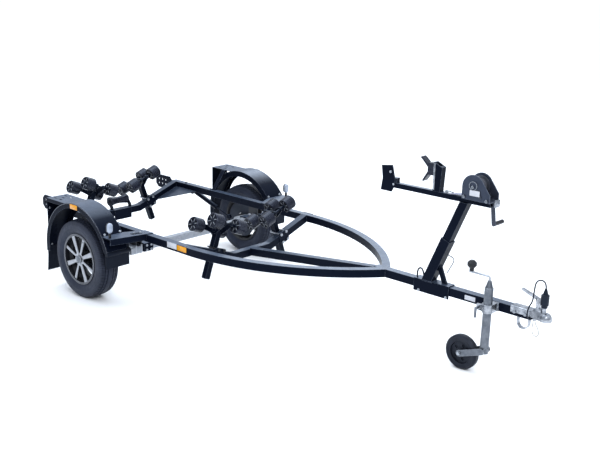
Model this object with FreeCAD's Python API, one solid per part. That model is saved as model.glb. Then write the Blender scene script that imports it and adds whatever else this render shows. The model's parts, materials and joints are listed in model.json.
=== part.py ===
import FreeCAD, Part
import math
import os

os.makedirs("parts", exist_ok=True)
V = FreeCAD.Vector

# Single-axle boat trailer with roller cradles. Millimetres, +X towards the coupling, +Y to the left, +Z up.
# The frame is drawn level, with x from the road wheels' axis and z from the ground under them.
# At the end it leans nose down onto its jockey wheel and moves so that x is zero at its middle.

# Stance and road wheels
WHEEL_R = 275.0
TYRE_W = 155.0
TREAD_W = 128.0
SHOULDER_DROP = 9.0
SIDEWALL_DROP = 49.0
SIDEWALL_R = WHEEL_R - SIDEWALL_DROP
SIDEWALL_BULGE_SHARE = 0.52
BEAD_SEAT_SHARE = 0.77
TYRE_DEEP = 107.0
BEAD_R = WHEEL_R - TYRE_DEEP
RIM_FLANGE = 10.0
RIM_R = BEAD_R + RIM_FLANGE
RIM_W = 136.0
RIM_WALL = 5.0
RIM_WELL = 20.0
SPOKES = 8
SPOKE_START_DEG = 24.0
WIDE_ROOT_W = 22.0
WIDE_TIP_W = 38.0
SLIM_ROOT_W = 16.0
SLIM_TIP_W = 26.0
SPOKE_T = 16.0
SPOKE_INSET = 5.0
SPOKE_EDGE = 3.0
HUB_R = 46.0
HUB_CAP_R = 27.0
HUB_CAP_T = 7.0
HUB_BACK_Y = 66.0
LUGS = 5
LUG_R = 7.0
LUG_PITCH_R = 36.0
LUG_DEPTH = 8.0
STUB_R = 15.0
RUN_FIT = 0.05
PARK_SLOPE = 0.03

# Frame tubes
BAR = 50.0
WALL = 3.0
BAR_BOTTOM = 450.0
BAR_FRONT_X = 2955.0
BAR_REAR_X = 1905.0
RAIL_Y = 575.0
RAIL_REAR_X = -690.0
BOW_START_X = 850.0
BOW_R = 1400.0
KEEL_DROP = 132.0
CROSS_FLAT_Y = 170.0
CROSS_DROP = 135.0
CROSS_BEND_R = 90.0
CROSS_FRONT_X = 815.0
CROSS_REAR_X = -650.0
GUSSET_LONG = 250.0
GUSSET_SIDE = 210.0
GUSSET_T = 5.0
END_PLATE_LONG = 210.0
END_PLATE_TALL = 110.0
END_PLATE_T = 6.0
END_PLATE_RISE = 28.0
END_PLATE_CORNER = 30.0
END_HOLE_R = 7.0

# Axle and its suspension
WHEEL_OUT = 193.0
AXLE_X = 285.0
AXLE_Z = 364.0
AXLE_BAR = 46.0
ARM_T = 34.0
ARM_CLEAR = 14.5
ARM_END_R = 36.0
ARM_EYE_R = 30.0
MOUNT_T = 8.0
MOUNT_HALF = 46.0
MOUNT_Y = 22.0
MOUNT_BELOW = 8.0
DAMPER_R = 19.0
DAMPER_ROD_R = 6.0
DAMPER_BODY = 285.0
DAMPER_TOP_X = -480.0
DAMPER_DROP = 18.0
DAMPER_LOW_X = -62.0
DAMPER_LOW_Z = 296.0
DAMPER_OUT = 24.0
DAMPER_EYE_R = 18.0
DAMPER_EYE_T = 24.0
LUG_PLATE_T = 8.0
LUG_PLATE_HALF = 26.0

# Mudguards
GUARD_IN_Y = 688.0
GUARD_OUT_Y = 853.0
GUARD_R = 385.0
GUARD_REAR_R = 352.0
GUARD_CENTRE_X = -10.0
GUARD_CENTRE_Z = 280.0
GUARD_T = 3.0
GUARD_LIP = 34.0
GUARD_TOP_Z = 651.0
GUARD_BACK_X = -334.0
GUARD_FRONT_Z = 405.0
GUARD_REAR_Z = 262.0
SHELF_LIP_Z = 26.0
SLOT_LONG = 32.0
SLOT_W = 11.0
FLAP_T = 5.0
FLAP_LOW_Z = 112.0
FLAP_FRONT_LOW_Z = 284.0
FLAP_LAP = 30.0
FLAP_SWEEP = 14.0
FLAP_IN = 26.0
SHELF_T = 5.0
SHELF_LIP = 38.0
SHELF_OUT_X = 310.0
SHELF_IN_X = 370.0
SHELF_W = 88.0
SHELF_SLOTS = 5
SHELF_SLOT_L = 40.0
BRACE_X = -210.0
BRACE_W = 36.0
BRACE_T = 6.0
BRACE_TAB = 22.0

# Lamps and reflectors
MARKER_W = 40.0
MARKER_H = 66.0
MARKER_T = 27.0
MARKER_X = 364.0
MARKER_Y = 832.0
MARKER_Z = 572.0
MARKER_FOOT_R = 9.0
REFLECTOR_L = 66.0
REFLECTOR_H = 36.0
REFLECTOR_T = 6.0
REFLECTOR_X = -32.0
REFLECTOR_Z = 634.0
RAIL_REFLECTOR_X = 735.0

# Roller cradles
FRONT_POST_Y = 308.0
REAR_POST_Y = 280.0
CRADLE_PIVOT_RISE = 148.0
CRADLE_PITCH_DEG = 19.5
ROCKER_TILT_DEG = 21.5
ROD_SPACING = 178.0
ROD_R = 8.0
ROLLER_SPACING = 216.0
ROLLER_R = 49.0
ROLLER_W = 78.0
ROLLER_RIM = 9.0
ROLLER_DISH = 14.0
ROLLER_HUB_R = 15.0
ROLLER_RIBS = 6
RIB_T = 5.0
RIB_INSET = 4.0
ROLLER_GROOVES = 5
GROOVE_DEPTH = 1.5
GROOVE_W = 2.5
ROLLER_EDGE = 4.0
BEAM_T = 6.0
BEAM_GAP = 50.0
BEAM_END_R = 18.0
BEAM_EYE_R = 27.0
PIVOT_R = 9.0
PIVOT_DROP = 32.0
COLLAR_R = 14.0
COLLAR_T = 5.0
POST_BAR = 40.0
POST_DOWN = 180.0
POST_UP = 16.0
CLAMP_T = 8.0
CLAMP_HALF = 42.0
CLAMP_BOLT_R = 5.0
NUT_R = 10.0
NUT_T = 8.0
KEEL_ROLLER_R = 36.0
KEEL_WAIST_R = 27.0
KEEL_ROLLER_W = 166.0
KEEL_ROLLER_END = 14.0
KEEL_ROLLER_RISE = 58.0
KEEL_ROLLER_BACK = 35.0
KEEL_PLATE_HALF = 80.0
KEEL_PLATE_H = 82.0
KEEL_PLATE_T = 6.0
KEEL_EAR_R = 18.0

# Winch post and bow stop
POST_FOOT_X = 2290.0
POST_LEAN_DEG = 22.5
SLEEVE_BAR = 60.0
SLEEVE_WALL = 4.7
SLEEVE_LONG = 286.0
MAST_BAR = 50.0
MAST_LAP = 210.0
FOOT_REAR_X = 2205.0
FOOT_FRONT_X = 2444.0
FOOT_T = 6.0
FOOT_H = 76.0
STRUT_T = 10.0
STRUT_W = 34.0
STRUT_FOOT = 30.0
STRUT_TOP = 112.0
ARM_BAR = 30.0
ARM_Z = 1018.0
ARM_REAR_X = 1978.0
ARM_FRONT_X = 2656.0
STOP_X = 1965.0
STOP_LONG = 78.0
STOP_TOP = 118.0
STOP_BLOCK_L = 58.0
STOP_BLOCK_H = 29.0
STOP_BLOCK_LOW = 3.0
STOP_LOW = 40.0
STOP_KINK = 34.0
STOP_BULGE = 22.0
STOP_T = 6.0
CATCH_X = 2286.0
CATCH_LONG = 56.0
CATCH_TALL = 165.0
CATCH_SLOPE = 26.0
CATCH_LEAN = 8.0
CATCH_WALL = 5.0
CATCH_HUB_RISE = 137.0
CATCH_HUB_L = 40.0
CATCH_HUB_H = 70.0
CATCH_W = 40.0
PRONG_LONG = 86.0
PRONG_ROOT_T = 16.0
PRONG_TIP_T = 10.0
PRONG_UP_DEG = 42.0
PRONG_DOWN_DEG = 57.0
WINCH_REAR_X = 2494.0
WINCH_LONG = 174.0
WINCH_HEAD_R = 67.0
WINCH_HEAD_RISE = 73.0
WINCH_SHOULDER = 42.0
WINCH_W = 96.0
WINCH_T = 5.0
DRUM_R = 16.0
DRUM_FLANGE_R = 52.0
DRUM_FLANGE_T = 4.0
DRUM_GAP = 1.0
STRAP_R = 38.0
PINION_R = 17.0
PINION_ANGLE_DEG = -45.0
PINION_GAP = 0.6
GEAR_T = 10.0
CRANK_OUT = 34.0
CRANK_LONG = 168.0
CRANK_LEAN_DEG = 7.5
CRANK_T = 6.0
CRANK_W = 24.0
CRANK_SHAFT_R = 8.0
CRANK_BOSS_R = 18.0
GRIP_R = 12.0
GRIP_LONG = 92.0

# Coupling
HOUSING_REAR_X = 2836.0
HOUSING_T = 5.0
HOUSING_SIDE = 30.0
HOUSING_ROUND = 6.0
BALL_R = 25.0
BALL_FIT = 0.5
SOCKET_WALL = 7.5
SOCKET_Z = 472.0
SOCKET_CROWN_SHARE = 0.86
COUPLING_TIP_X = 3061.0
SOCKET_SKIRT = 12.0
PIVOT_BLOCK_X = 2962.0
PIVOT_BLOCK_L = 42.0
PIVOT_BLOCK_W = 34.0
PIVOT_BLOCK_H = 20.0
LEVER_T = 7.0
LEVER_W = 24.0
LEVER_FOOT_X = 2983.0
LEVER_KNEE_X = 2976.0
LEVER_KNEE_Z = 566.0
LEVER_TIP_X = 2880.0
LEVER_TIP_Z = 600.0
CHAIN_LOOP_X = 2905.0
CHAIN_LOOP_R = 35.0
CHAIN_LOOP_T = 4.0
CHAIN_LOOP_W = 28.0
CHAIN_LOOP_DROP = 32.0

# Plug, its cable and the safety cable
PLUG_X = 3014.0
PLUG_LOW_Z = 530.0
PLUG_RING_R = 17.0
PLUG_RING_H = 12.0
PLUG_R = 22.0
PLUG_H = 61.0
PLUG_EDGE = 3.0
BOOT_H = 33.0
BOOT_ROOT_R = 15.0
BOOT_TIP_R = 5.5
REST_R = 12.0
CABLE_R = 3.8
CABLE_RUN = 30.0
CABLE_FALL = 53.0
CABLE_OUT = 20.0
CABLE_BACK = 9.0
CABLE_UP = 11.0
CABLE_TURN = 16.0
SAFETY_R = 2.0
SAFETY_X = 2965.0
SAFETY_HALF = 5.0
SAFETY_DROP = 13.0
SAFETY_WIDE = 19.0
SAFETY_LONG = 90.0
FERRULE_R = 9.0
FERRULE_LONG = 14.0

# Jockey wheel
JOCKEY_X = 2730.0
JOCKEY_Y = -85.0
JOCKEY_TUBE_R = 24.0
JOCKEY_WALL = 2.5
JOCKEY_TUBE_TOP_Z = 590.0
JOCKEY_TUBE_LOW_Z = 248.0
JOCKEY_LEG_FIT = 0.1
JOCKEY_LEG_LONG = 300.0
JOCKEY_NECK = 6.0
JOCKEY_R = 100.0
JOCKEY_W = 50.0
JOCKEY_HUB_R = 62.0
JOCKEY_BOSS_R = 19.0
JOCKEY_HOLES = 5
JOCKEY_HOLE_R = 10.0
JOCKEY_WEB_T = 4.0
JOCKEY_RIM_T = 3.0
JOCKEY_EDGE = 12.0
JOCKEY_TRAIL = 136.0
JOCKEY_FORK_T = 5.0
JOCKEY_FORK_H = 36.0
JOCKEY_FORK_GAP = 6.0
JOCKEY_HEAD_H = 30.0
JOCKEY_AXLE_R = 8.0
JOCKEY_CLAMP_LOW_Z = 450.0
JOCKEY_CLAMP_H = 48.0
JOCKEY_CLAMP_WALL = 6.0
JOCKEY_EAR = 26.0
JOCKEY_EAR_T = 14.0
JOCKEY_PLATE_L = 70.0
JOCKEY_PLATE_T = 7.0
JOCKEY_HANDLE_R = 7.0
JOCKEY_HANDLE_LONG = 52.0
JOCKEY_CAP_H = 40.0
JOCKEY_CAP_R = 21.0
JOCKEY_CAP_NECK_R = 10.0
JOCKEY_CRANK = 128.0
JOCKEY_CRANK_R = 5.5
JOCKEY_CRANK_RISE = 10.0
JOCKEY_CRANK_BEND = 12.0
JOCKEY_KNOB_R = 26.0
JOCKEY_KNOB_STEM_R = 13.0
JOCKEY_KNOB_H = 60.0

CUT = 2.0
CORD_REACH_SHARE = 0.45
SEAT = 0.3

X, Y, Z = V(1, 0, 0), V(0, 1, 0), V(0, 0, 1)
BAR_TOP = BAR_BOTTOM + BAR
BAR_MID = BAR_BOTTOM + BAR / 2
RAIL_IN_Y = RAIL_Y - BAR / 2
CROSS_MID_Z = BAR_MID - CROSS_DROP
TILT = math.atan2(CROSS_DROP, RAIL_IN_Y - CROSS_FLAT_Y)
LEAN = math.radians(POST_LEAN_DEG)
PARK = math.atan(PARK_SLOPE)
ROCKER_TILT = math.radians(ROCKER_TILT_DEG)
POST_ACROSS = V(0, math.cos(TILT), math.sin(TILT))
POST_UPWARD = V(0, -math.sin(TILT), math.cos(TILT))
CRADLE_ACROSS = V(0, math.cos(ROCKER_TILT), math.sin(ROCKER_TILT))
WHEEL_Y = RAIL_Y + WHEEL_OUT
AXLE_HALF = WHEEL_Y - TYRE_W / 2 - ARM_CLEAR - ARM_T


def box(x0, x1, y0, y1, z0, z1):
    return Part.makeBox(x1 - x0, y1 - y0, z1 - z0, V(x0, y0, z0))


def rod(p0, p1, radius):
    return Part.makeCylinder(radius, (p1 - p0).Length, p0, p1 - p0)


def disc(centre, axis, radius, thickness):
    return Part.makeCylinder(radius, thickness, centre - axis * (thickness / 2), axis)


def join(shapes):
    whole = shapes[0].fuse(shapes[1:])
    return whole.removeSplitter()


def mirrored(shape):
    return shape.mirror(V(0, 0, 0), Y)


def plate(points, offset):
    """A flat outline of points, thickened by the vector offset."""
    wire = Part.makePolygon(points + [points[0]])
    return Part.Face(wire).extrude(offset)


def ring(profile, axis_origin, axis):
    """A closed outline of points, turned all the way round an axis."""
    wire = Part.makePolygon(profile + [profile[0]])
    return Part.Face(wire).revolve(axis_origin, axis, 360)


def set_at(shape, origin, along, side):
    """Moves a shape drawn about zero: its z goes along, its y goes to side."""
    third = side.cross(along)
    turn = FreeCAD.Matrix(third.x, side.x, along.x, origin.x, third.y, side.y, along.y, origin.y,
                          third.z, side.z, along.z, origin.z, 0, 0, 0, 1)
    placed = shape.copy()
    placed.Placement = FreeCAD.Placement(turn).multiply(shape.Placement)
    return placed


def square_tube(p0, p1, width, side, wall):
    """A square tube from p0 to p1, with one pair of faces square to side."""
    length = (p1 - p0).Length
    half, inner = width / 2, width / 2 - wall
    solid = box(-half, half, -half, half, 0, length)
    hole = box(-inner, inner, -inner, inner, -CUT, length + CUT)
    return set_at(solid.cut(hole), p0, (p1 - p0) * (1 / length), side)


def link(p0, r0, p1, r1, side, thickness):
    """A strap with round ends about p0 and p1, its mid plane square to side."""
    along = p1 - p0
    length = along.Length
    along = along * (1 / length)
    across = side.cross(along)
    bend = math.asin((r0 - r1) / length)
    out, fore = math.cos(bend), math.sin(bend)
    low = side * (-thickness / 2)
    points = [p0 + across * (r0 * out) + along * (r0 * fore), p1 + across * (r1 * out) + along * (r1 * fore),
              p1 - across * (r1 * out) + along * (r1 * fore), p0 - across * (r0 * out) + along * (r0 * fore)]
    web = plate([point + low for point in points], side * thickness)
    return join([web, disc(p0, side, r0, thickness), disc(p1, side, r1, thickness)])


def cord(points, radius, name):
    """A round tube along straight runs whose corners are rounded with arcs."""
    runs = [b - a for a, b in zip(points, points[1:])]
    edges, start, radii = [], points[0], []
    for corner, before, after in zip(points[1:], runs, runs[1:]):
        half_turn = before.getAngle(after) / 2
        reach = CORD_REACH_SHARE * min(before.Length, after.Length)
        radii.append(round(reach / math.tan(half_turn)))
        first = corner - before * (reach / before.Length)
        last = corner + after * (reach / after.Length)
        inward = last + first - corner - corner
        centre = corner + inward * (1 / inward.Length) * (reach / math.sin(half_turn))
        middle = centre + (corner - centre) * (reach / math.tan(half_turn) / (corner - centre).Length)
        edges.append(Part.LineSegment(start, first))
        edges.append(Part.Arc(first, middle, last))
        start = last
    edges.append(Part.LineSegment(start, points[-1]))
    path = Part.Wire([edge.toShape() for edge in edges])
    print(name, "bend radii", radii, "length", round(path.Length))
    profile = Part.Wire(Part.makeCircle(radius, points[0], runs[0]))
    return path.makePipeShell([profile], True, False)


# Frame

def drawbar():
    outer = box(BAR_REAR_X, BAR_FRONT_X, -BAR / 2, BAR / 2, BAR_BOTTOM, BAR_TOP)
    inner = box(BAR_REAR_X + WALL, BAR_FRONT_X - WALL, -BAR / 2 + WALL, BAR / 2 - WALL,
                BAR_BOTTOM + WALL, BAR_TOP - WALL)
    entry = plug_cable_points()[-1]
    return outer.cut(inner).cut(rod(entry - Y * BAR, entry, CABLE_R + 2 * SEAT))


def rail_band(grow, z0, z1):
    """The rail's plan outline, grown sideways from its centre line, between two heights."""
    centre = V(BOW_START_X, RAIL_Y - BOW_R, z0)
    sweep = math.acos((BOW_R - RAIL_Y) / BOW_R)

    def at(radius, share):
        return centre + V(radius * math.sin(sweep * share), radius * math.cos(sweep * share), 0)

    outer_r, inner_r = BOW_R + grow, BOW_R - grow
    rear_out = V(RAIL_REAR_X, RAIL_Y + grow, z0)
    rear_in = V(RAIL_REAR_X, RAIL_Y - grow, z0)
    edges = [Part.LineSegment(rear_in, rear_out), Part.LineSegment(rear_out, at(outer_r, 0)),
             Part.Arc(at(outer_r, 0), at(outer_r, 0.5), at(outer_r, 1)),
             Part.LineSegment(at(outer_r, 1), at(inner_r, 1)),
             Part.Arc(at(inner_r, 1), at(inner_r, 0.5), at(inner_r, 0)),
             Part.LineSegment(at(inner_r, 0), rear_in)]
    wire = Part.Wire([edge.toShape() for edge in edges])
    return Part.Face(wire).extrude(V(0, 0, z1 - z0))


def rail():
    outer = rail_band(BAR / 2, BAR_BOTTOM, BAR_TOP)
    inner = rail_band(BAR / 2 - WALL, BAR_BOTTOM + WALL, BAR_TOP - WALL)
    beyond = box(RAIL_REAR_X, BAR_FRONT_X, -RAIL_Y, BAR / 2, BAR_BOTTOM - CUT, BAR_TOP + CUT)
    return outer.cut(inner).cut(beyond)


def keel():
    """The centre beam, from the drawbar's rear end down to the front cross-member."""
    top = V(BAR_REAR_X + BAR, 0, BAR_MID)
    low = V(CROSS_FRONT_X, 0, BAR_MID - KEEL_DROP)
    beam = square_tube(low, top, BAR, Y, WALL)
    front = box(BAR_REAR_X, BAR_FRONT_X, -BAR, BAR, 0, BAR_TOP + BAR)
    rear = box(0, CROSS_FRONT_X + BAR / 2, -BAR, BAR, 0, BAR_TOP + BAR)
    return beam.cut(front).cut(rear)


def cross_member(x):
    """A dished square tube between the rails, with rounded bends."""
    run = RAIL_IN_Y - CROSS_FLAT_Y

    def bar(half):
        upright = half / math.cos(TILT)
        shift = half * math.tan(TILT / 2)
        rise = CROSS_DROP * (RAIL_IN_Y - CROSS_FLAT_Y) / run
        top = [V(x - half, -RAIL_IN_Y, CROSS_MID_Z + rise + upright),
               V(x - half, shift - CROSS_FLAT_Y, CROSS_MID_Z + half),
               V(x - half, CROSS_FLAT_Y - shift, CROSS_MID_Z + half),
               V(x - half, RAIL_IN_Y, CROSS_MID_Z + rise + upright)]
        low = [V(x - half, RAIL_IN_Y, CROSS_MID_Z + rise - upright),
               V(x - half, CROSS_FLAT_Y + shift, CROSS_MID_Z - half),
               V(x - half, -CROSS_FLAT_Y - shift, CROSS_MID_Z - half),
               V(x - half, -RAIL_IN_Y, CROSS_MID_Z + rise - upright)]
        solid = plate(top + low, V(2 * half, 0, 0))
        bends = [edge for edge in solid.Edges if abs(edge.tangentAt(edge.FirstParameter).x) > math.cos(TILT)
                 and abs(abs(edge.CenterOfMass.y) - CROSS_FLAT_Y) < BAR]
        return solid.makeFillet(CROSS_BEND_R, bends)

    return bar(BAR / 2).cut(bar(BAR / 2 - WALL))


def arm_z(y):
    """The height of a cross-member's centre line on its sloping part."""
    return CROSS_MID_Z + (y - CROSS_FLAT_Y) * math.tan(TILT)


def gusset():
    """The three-cornered plate between the rear cross-member and a rail."""
    x = CROSS_REAR_X + BAR / 2
    low_y = RAIL_IN_Y - GUSSET_SIDE
    drop = BAR / 2 - GUSSET_T
    points = [V(x, low_y, arm_z(low_y) - drop), V(x, RAIL_IN_Y, arm_z(RAIL_IN_Y) - drop),
              V(x + GUSSET_LONG, RAIL_IN_Y, arm_z(RAIL_IN_Y) - drop)]
    return plate(points, V(0, 0, GUSSET_T))


def end_plate():
    """The drilled plate inside a rail's rear end, for a light board."""
    y0 = RAIL_IN_Y - END_PLATE_T
    x1 = CROSS_REAR_X - BAR / 2 - SEAT
    x0 = x1 - END_PLATE_LONG
    z1 = BAR_TOP + END_PLATE_RISE
    z0 = z1 - END_PLATE_TALL
    corner = END_PLATE_CORNER
    points = [V(x0, y0, z0 + corner), V(x0 + corner, y0, z0), V(x1, y0, z0), V(x1, y0, z1 - corner),
              V(x1 - corner, y0, z1), V(x0 + corner, y0, z1), V(x0, y0, z1 - corner)]
    shape = plate(points, V(0, END_PLATE_T, 0))
    step = END_PLATE_LONG / 5
    for row in (1, 2):
        for column in (1, 2, 3):
            centre = V(x0 + step * column, y0, z0 + END_PLATE_TALL * row / 3)
            shape = shape.cut(rod(centre - Y * CUT, centre + Y * (END_PLATE_T + CUT), END_HOLE_R))
    return shape


# Axle

def axle_tube():
    return square_tube(V(AXLE_X, -AXLE_HALF, AXLE_Z), V(AXLE_X, AXLE_HALF, AXLE_Z), AXLE_BAR, Z, WALL)


def axle_mount():
    """Two webs that hang the axle tube under a rail."""
    webs = []
    for y in (RAIL_Y - MOUNT_Y, RAIL_Y + MOUNT_Y):
        low_z = AXLE_Z - AXLE_BAR / 2 - MOUNT_BELOW
        chamfer = MOUNT_BELOW
        points = [V(AXLE_X - MOUNT_HALF, y - MOUNT_T / 2, BAR_BOTTOM),
                  V(AXLE_X + MOUNT_HALF, y - MOUNT_T / 2, BAR_BOTTOM),
                  V(AXLE_X + MOUNT_HALF, y - MOUNT_T / 2, low_z + chamfer),
                  V(AXLE_X + MOUNT_HALF - chamfer, y - MOUNT_T / 2, low_z),
                  V(AXLE_X - MOUNT_HALF + chamfer, y - MOUNT_T / 2, low_z),
                  V(AXLE_X - MOUNT_HALF, y - MOUNT_T / 2, low_z + chamfer)]
        webs.append(plate(points, V(0, MOUNT_T, 0)))
    half = AXLE_BAR / 2
    slot = box(AXLE_X - half, AXLE_X + half, 0, GUARD_OUT_Y, AXLE_Z - half, AXLE_Z + half)
    return [web.cut(slot) for web in webs]


def axle_arm():
    """The trailing arm and the stub axle that carries a road wheel."""
    y = AXLE_HALF + ARM_T / 2
    front, rear = V(AXLE_X, y, AXLE_Z), V(0, y, WHEEL_R)
    arm = link(front, ARM_END_R, rear, ARM_EYE_R, Y, ARM_T)
    stub_end = WHEEL_Y + RIM_W / 2 - SPOKE_T - CUT
    stub = rod(V(0, y, WHEEL_R), V(0, stub_end, WHEEL_R), STUB_R)
    return join([arm, stub])


def damper_line():
    """The two pin centres of a damper."""
    y = RAIL_Y + BAR / 2 + DAMPER_OUT
    return V(DAMPER_TOP_X, y, BAR_BOTTOM - DAMPER_DROP), V(DAMPER_LOW_X, y, DAMPER_LOW_Z)


def damper():
    """A gas strut from a lug under the rail back to the trailing arm."""
    top, low = damper_line()
    along = (low - top) * (1 / (low - top).Length)
    body = rod(top, top + along * DAMPER_BODY, DAMPER_R)
    stem = rod(top, low, DAMPER_ROD_R)
    eyes = [disc(top, Y, DAMPER_EYE_R, DAMPER_EYE_T), disc(low, Y, DAMPER_EYE_R, DAMPER_EYE_T)]
    lug_y = RAIL_Y + BAR / 2 - SEAT
    pin_top = rod(V(top.x, lug_y, top.z), top, DAMPER_ROD_R)
    pin_low = rod(low, V(low.x, AXLE_HALF, low.z), DAMPER_ROD_R)
    return join([body, stem, pin_top, pin_low] + eyes)


def damper_lug():
    """The plate under a rail that a damper's upper pin bolts to."""
    top = damper_line()[0]
    y1 = RAIL_Y + BAR / 2 - SEAT
    half = LUG_PLATE_HALF
    low_z = top.z - DAMPER_EYE_R
    points = [V(top.x - half, y1, BAR_BOTTOM), V(top.x + half, y1, BAR_BOTTOM),
              V(top.x + half / 2, y1, low_z), V(top.x - half / 2, y1, low_z)]
    return plate(points, V(0, -LUG_PLATE_T, 0))


# Mudguards

def arch_edges(depth):
    """The arch from front to rear, as edges drawn depth inside its outer line."""
    front_r, rear_r = GUARD_R - depth, GUARD_REAR_R - depth
    centre = V(GUARD_CENTRE_X, 0, GUARD_CENTRE_Z)
    rear_centre = V(GUARD_CENTRE_X, 0, GUARD_CENTRE_Z + GUARD_R - GUARD_REAR_R)
    start = math.asin((GUARD_FRONT_Z - GUARD_CENTRE_Z) / GUARD_R)

    def at(middle, radius, angle):
        return middle + V(radius * math.cos(angle), 0, radius * math.sin(angle))

    top = math.pi / 2
    rear_mid, rear_end = top * 1.5, top * 2
    foot = V(GUARD_CENTRE_X - rear_r, 0, GUARD_REAR_Z)
    return [Part.Arc(at(centre, front_r, start), at(centre, front_r, (start + top) / 2),
                     at(centre, front_r, top)).toShape(),
            Part.Arc(at(rear_centre, rear_r, top), at(rear_centre, rear_r, rear_mid),
                     at(rear_centre, rear_r, rear_end)).toShape(),
            Part.LineSegment(at(rear_centre, rear_r, rear_end), foot).toShape()]


def arch_band(depth, y0, y1):
    outer, inner = arch_edges(0), arch_edges(depth)
    caps = [Part.LineSegment(outer[0].Vertexes[0].Point, inner[0].Vertexes[0].Point).toShape(),
            Part.LineSegment(outer[-1].Vertexes[-1].Point, inner[-1].Vertexes[-1].Point).toShape()]
    wire = Part.Wire(Part.__sortEdges__(outer + inner + caps))
    return Part.Face(wire).extrude(V(0, y1 - y0, 0)).translated(V(0, y0, 0))


def arch_core(depth, y0, y1):
    """Everything inside the arch, up to depth below its outer line."""
    edges = arch_edges(depth)
    ends = edges[0].Vertexes[0].Point, edges[-1].Vertexes[-1].Point
    low_z = GUARD_REAR_Z - GUARD_LIP
    corners = [V(ends[0].x, 0, low_z), V(ends[1].x, 0, low_z)]
    caps = [Part.LineSegment(ends[0], corners[0]).toShape(), Part.LineSegment(*corners).toShape(),
            Part.LineSegment(corners[1], ends[1]).toShape()]
    wire = Part.Wire(Part.__sortEdges__(edges + caps))
    return Part.Face(wire).extrude(V(0, y1 - y0, 0)).translated(V(0, y0, 0))


def guard_slots():
    """Cutters for the slots in the flat rear top of a mudguard."""
    slots = []
    for column, row in ((1, 1), (1, 3), (2, 2), (3, 1), (3, 3)):
        x = GUARD_BACK_X + (column + 0.5) * SLOT_LONG
        y = GUARD_IN_Y + (GUARD_OUT_Y - GUARD_IN_Y) * row / 4
        low, high = GUARD_TOP_Z - GUARD_T - CUT, GUARD_TOP_Z + CUT
        half = (SLOT_LONG - SLOT_W) / 2
        slots.append(box(x - half, x + half, y - SLOT_W / 2, y + SLOT_W / 2, low, high))
        for end in (x - half, x + half):
            slots.append(rod(V(end, y, low), V(end, y, high), SLOT_W / 2))
    return join(slots)


def mudguard():
    """A rolled steel arch with an outer lip and a squared rear corner."""
    band = arch_band(GUARD_T, GUARD_IN_Y, GUARD_OUT_Y)
    lip = arch_band(GUARD_LIP, GUARD_OUT_Y - GUARD_T, GUARD_OUT_Y)
    top = box(GUARD_BACK_X, GUARD_CENTRE_X, GUARD_IN_Y, GUARD_OUT_Y, GUARD_TOP_Z - GUARD_T, GUARD_TOP_Z)
    back = box(GUARD_BACK_X, GUARD_BACK_X + GUARD_T, GUARD_IN_Y, GUARD_OUT_Y, GUARD_CENTRE_Z, GUARD_TOP_Z)
    edge = box(GUARD_BACK_X, GUARD_CENTRE_X, GUARD_OUT_Y - GUARD_T, GUARD_OUT_Y,
               GUARD_TOP_Z - SHELF_LIP_Z, GUARD_TOP_Z)
    core = arch_core(GUARD_T / 2, GUARD_IN_Y - CUT, GUARD_OUT_Y + CUT)
    corner = join([top, back, edge]).cut(core).cut(guard_slots())
    return join([band, lip, corner])


def mud_flaps():
    """The rubber flaps that hang inside the arch's two ends."""
    y0, y1 = GUARD_IN_Y, GUARD_OUT_Y - GUARD_T - SEAT
    rear_x = GUARD_CENTRE_X - GUARD_REAR_R + GUARD_T + SEAT
    knee_z, top_z = GUARD_REAR_Z - GUARD_LIP, GUARD_REAR_Z + FLAP_LAP
    low_x = rear_x - FLAP_SWEEP
    points = [V(rear_x, y0, top_z), V(rear_x, y0, knee_z), V(low_x, y0, FLAP_LOW_Z),
              V(low_x + FLAP_T, y0, FLAP_LOW_Z), V(rear_x + FLAP_T, y0, knee_z), V(rear_x + FLAP_T, y0, top_z)]
    rear = plate(points, V(0, y1 - y0, 0))
    front_x = arch_edges(GUARD_T)[0].Vertexes[0].Point.x - FLAP_T - FLAP_LAP / 2
    front = box(front_x, front_x + FLAP_T, y0 - FLAP_IN, y1, FLAP_FRONT_LOW_Z, GUARD_FRONT_Z + FLAP_LAP)
    inside = arch_core(GUARD_T + SEAT, GUARD_IN_Y - FLAP_IN - CUT, GUARD_OUT_Y + CUT)
    return [rear, front.common(inside)]


def rear_brace():
    """The strut from a rail's top up to the tab under a mudguard's flat corner."""
    x, t, top = BRACE_X, BRACE_T, GUARD_TOP_Z - GUARD_T - SEAT
    edge_y, tab_y = GUARD_IN_Y, GUARD_IN_Y + BRACE_TAB
    points = [V(x, RAIL_Y - t, BAR_TOP), V(x, RAIL_Y + t, BAR_TOP), V(x, edge_y, top - 2 * t),
              V(x, tab_y, top - t), V(x, tab_y, top), V(x, edge_y - t, top)]
    return plate(points, V(BRACE_W, 0, 0))


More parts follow.
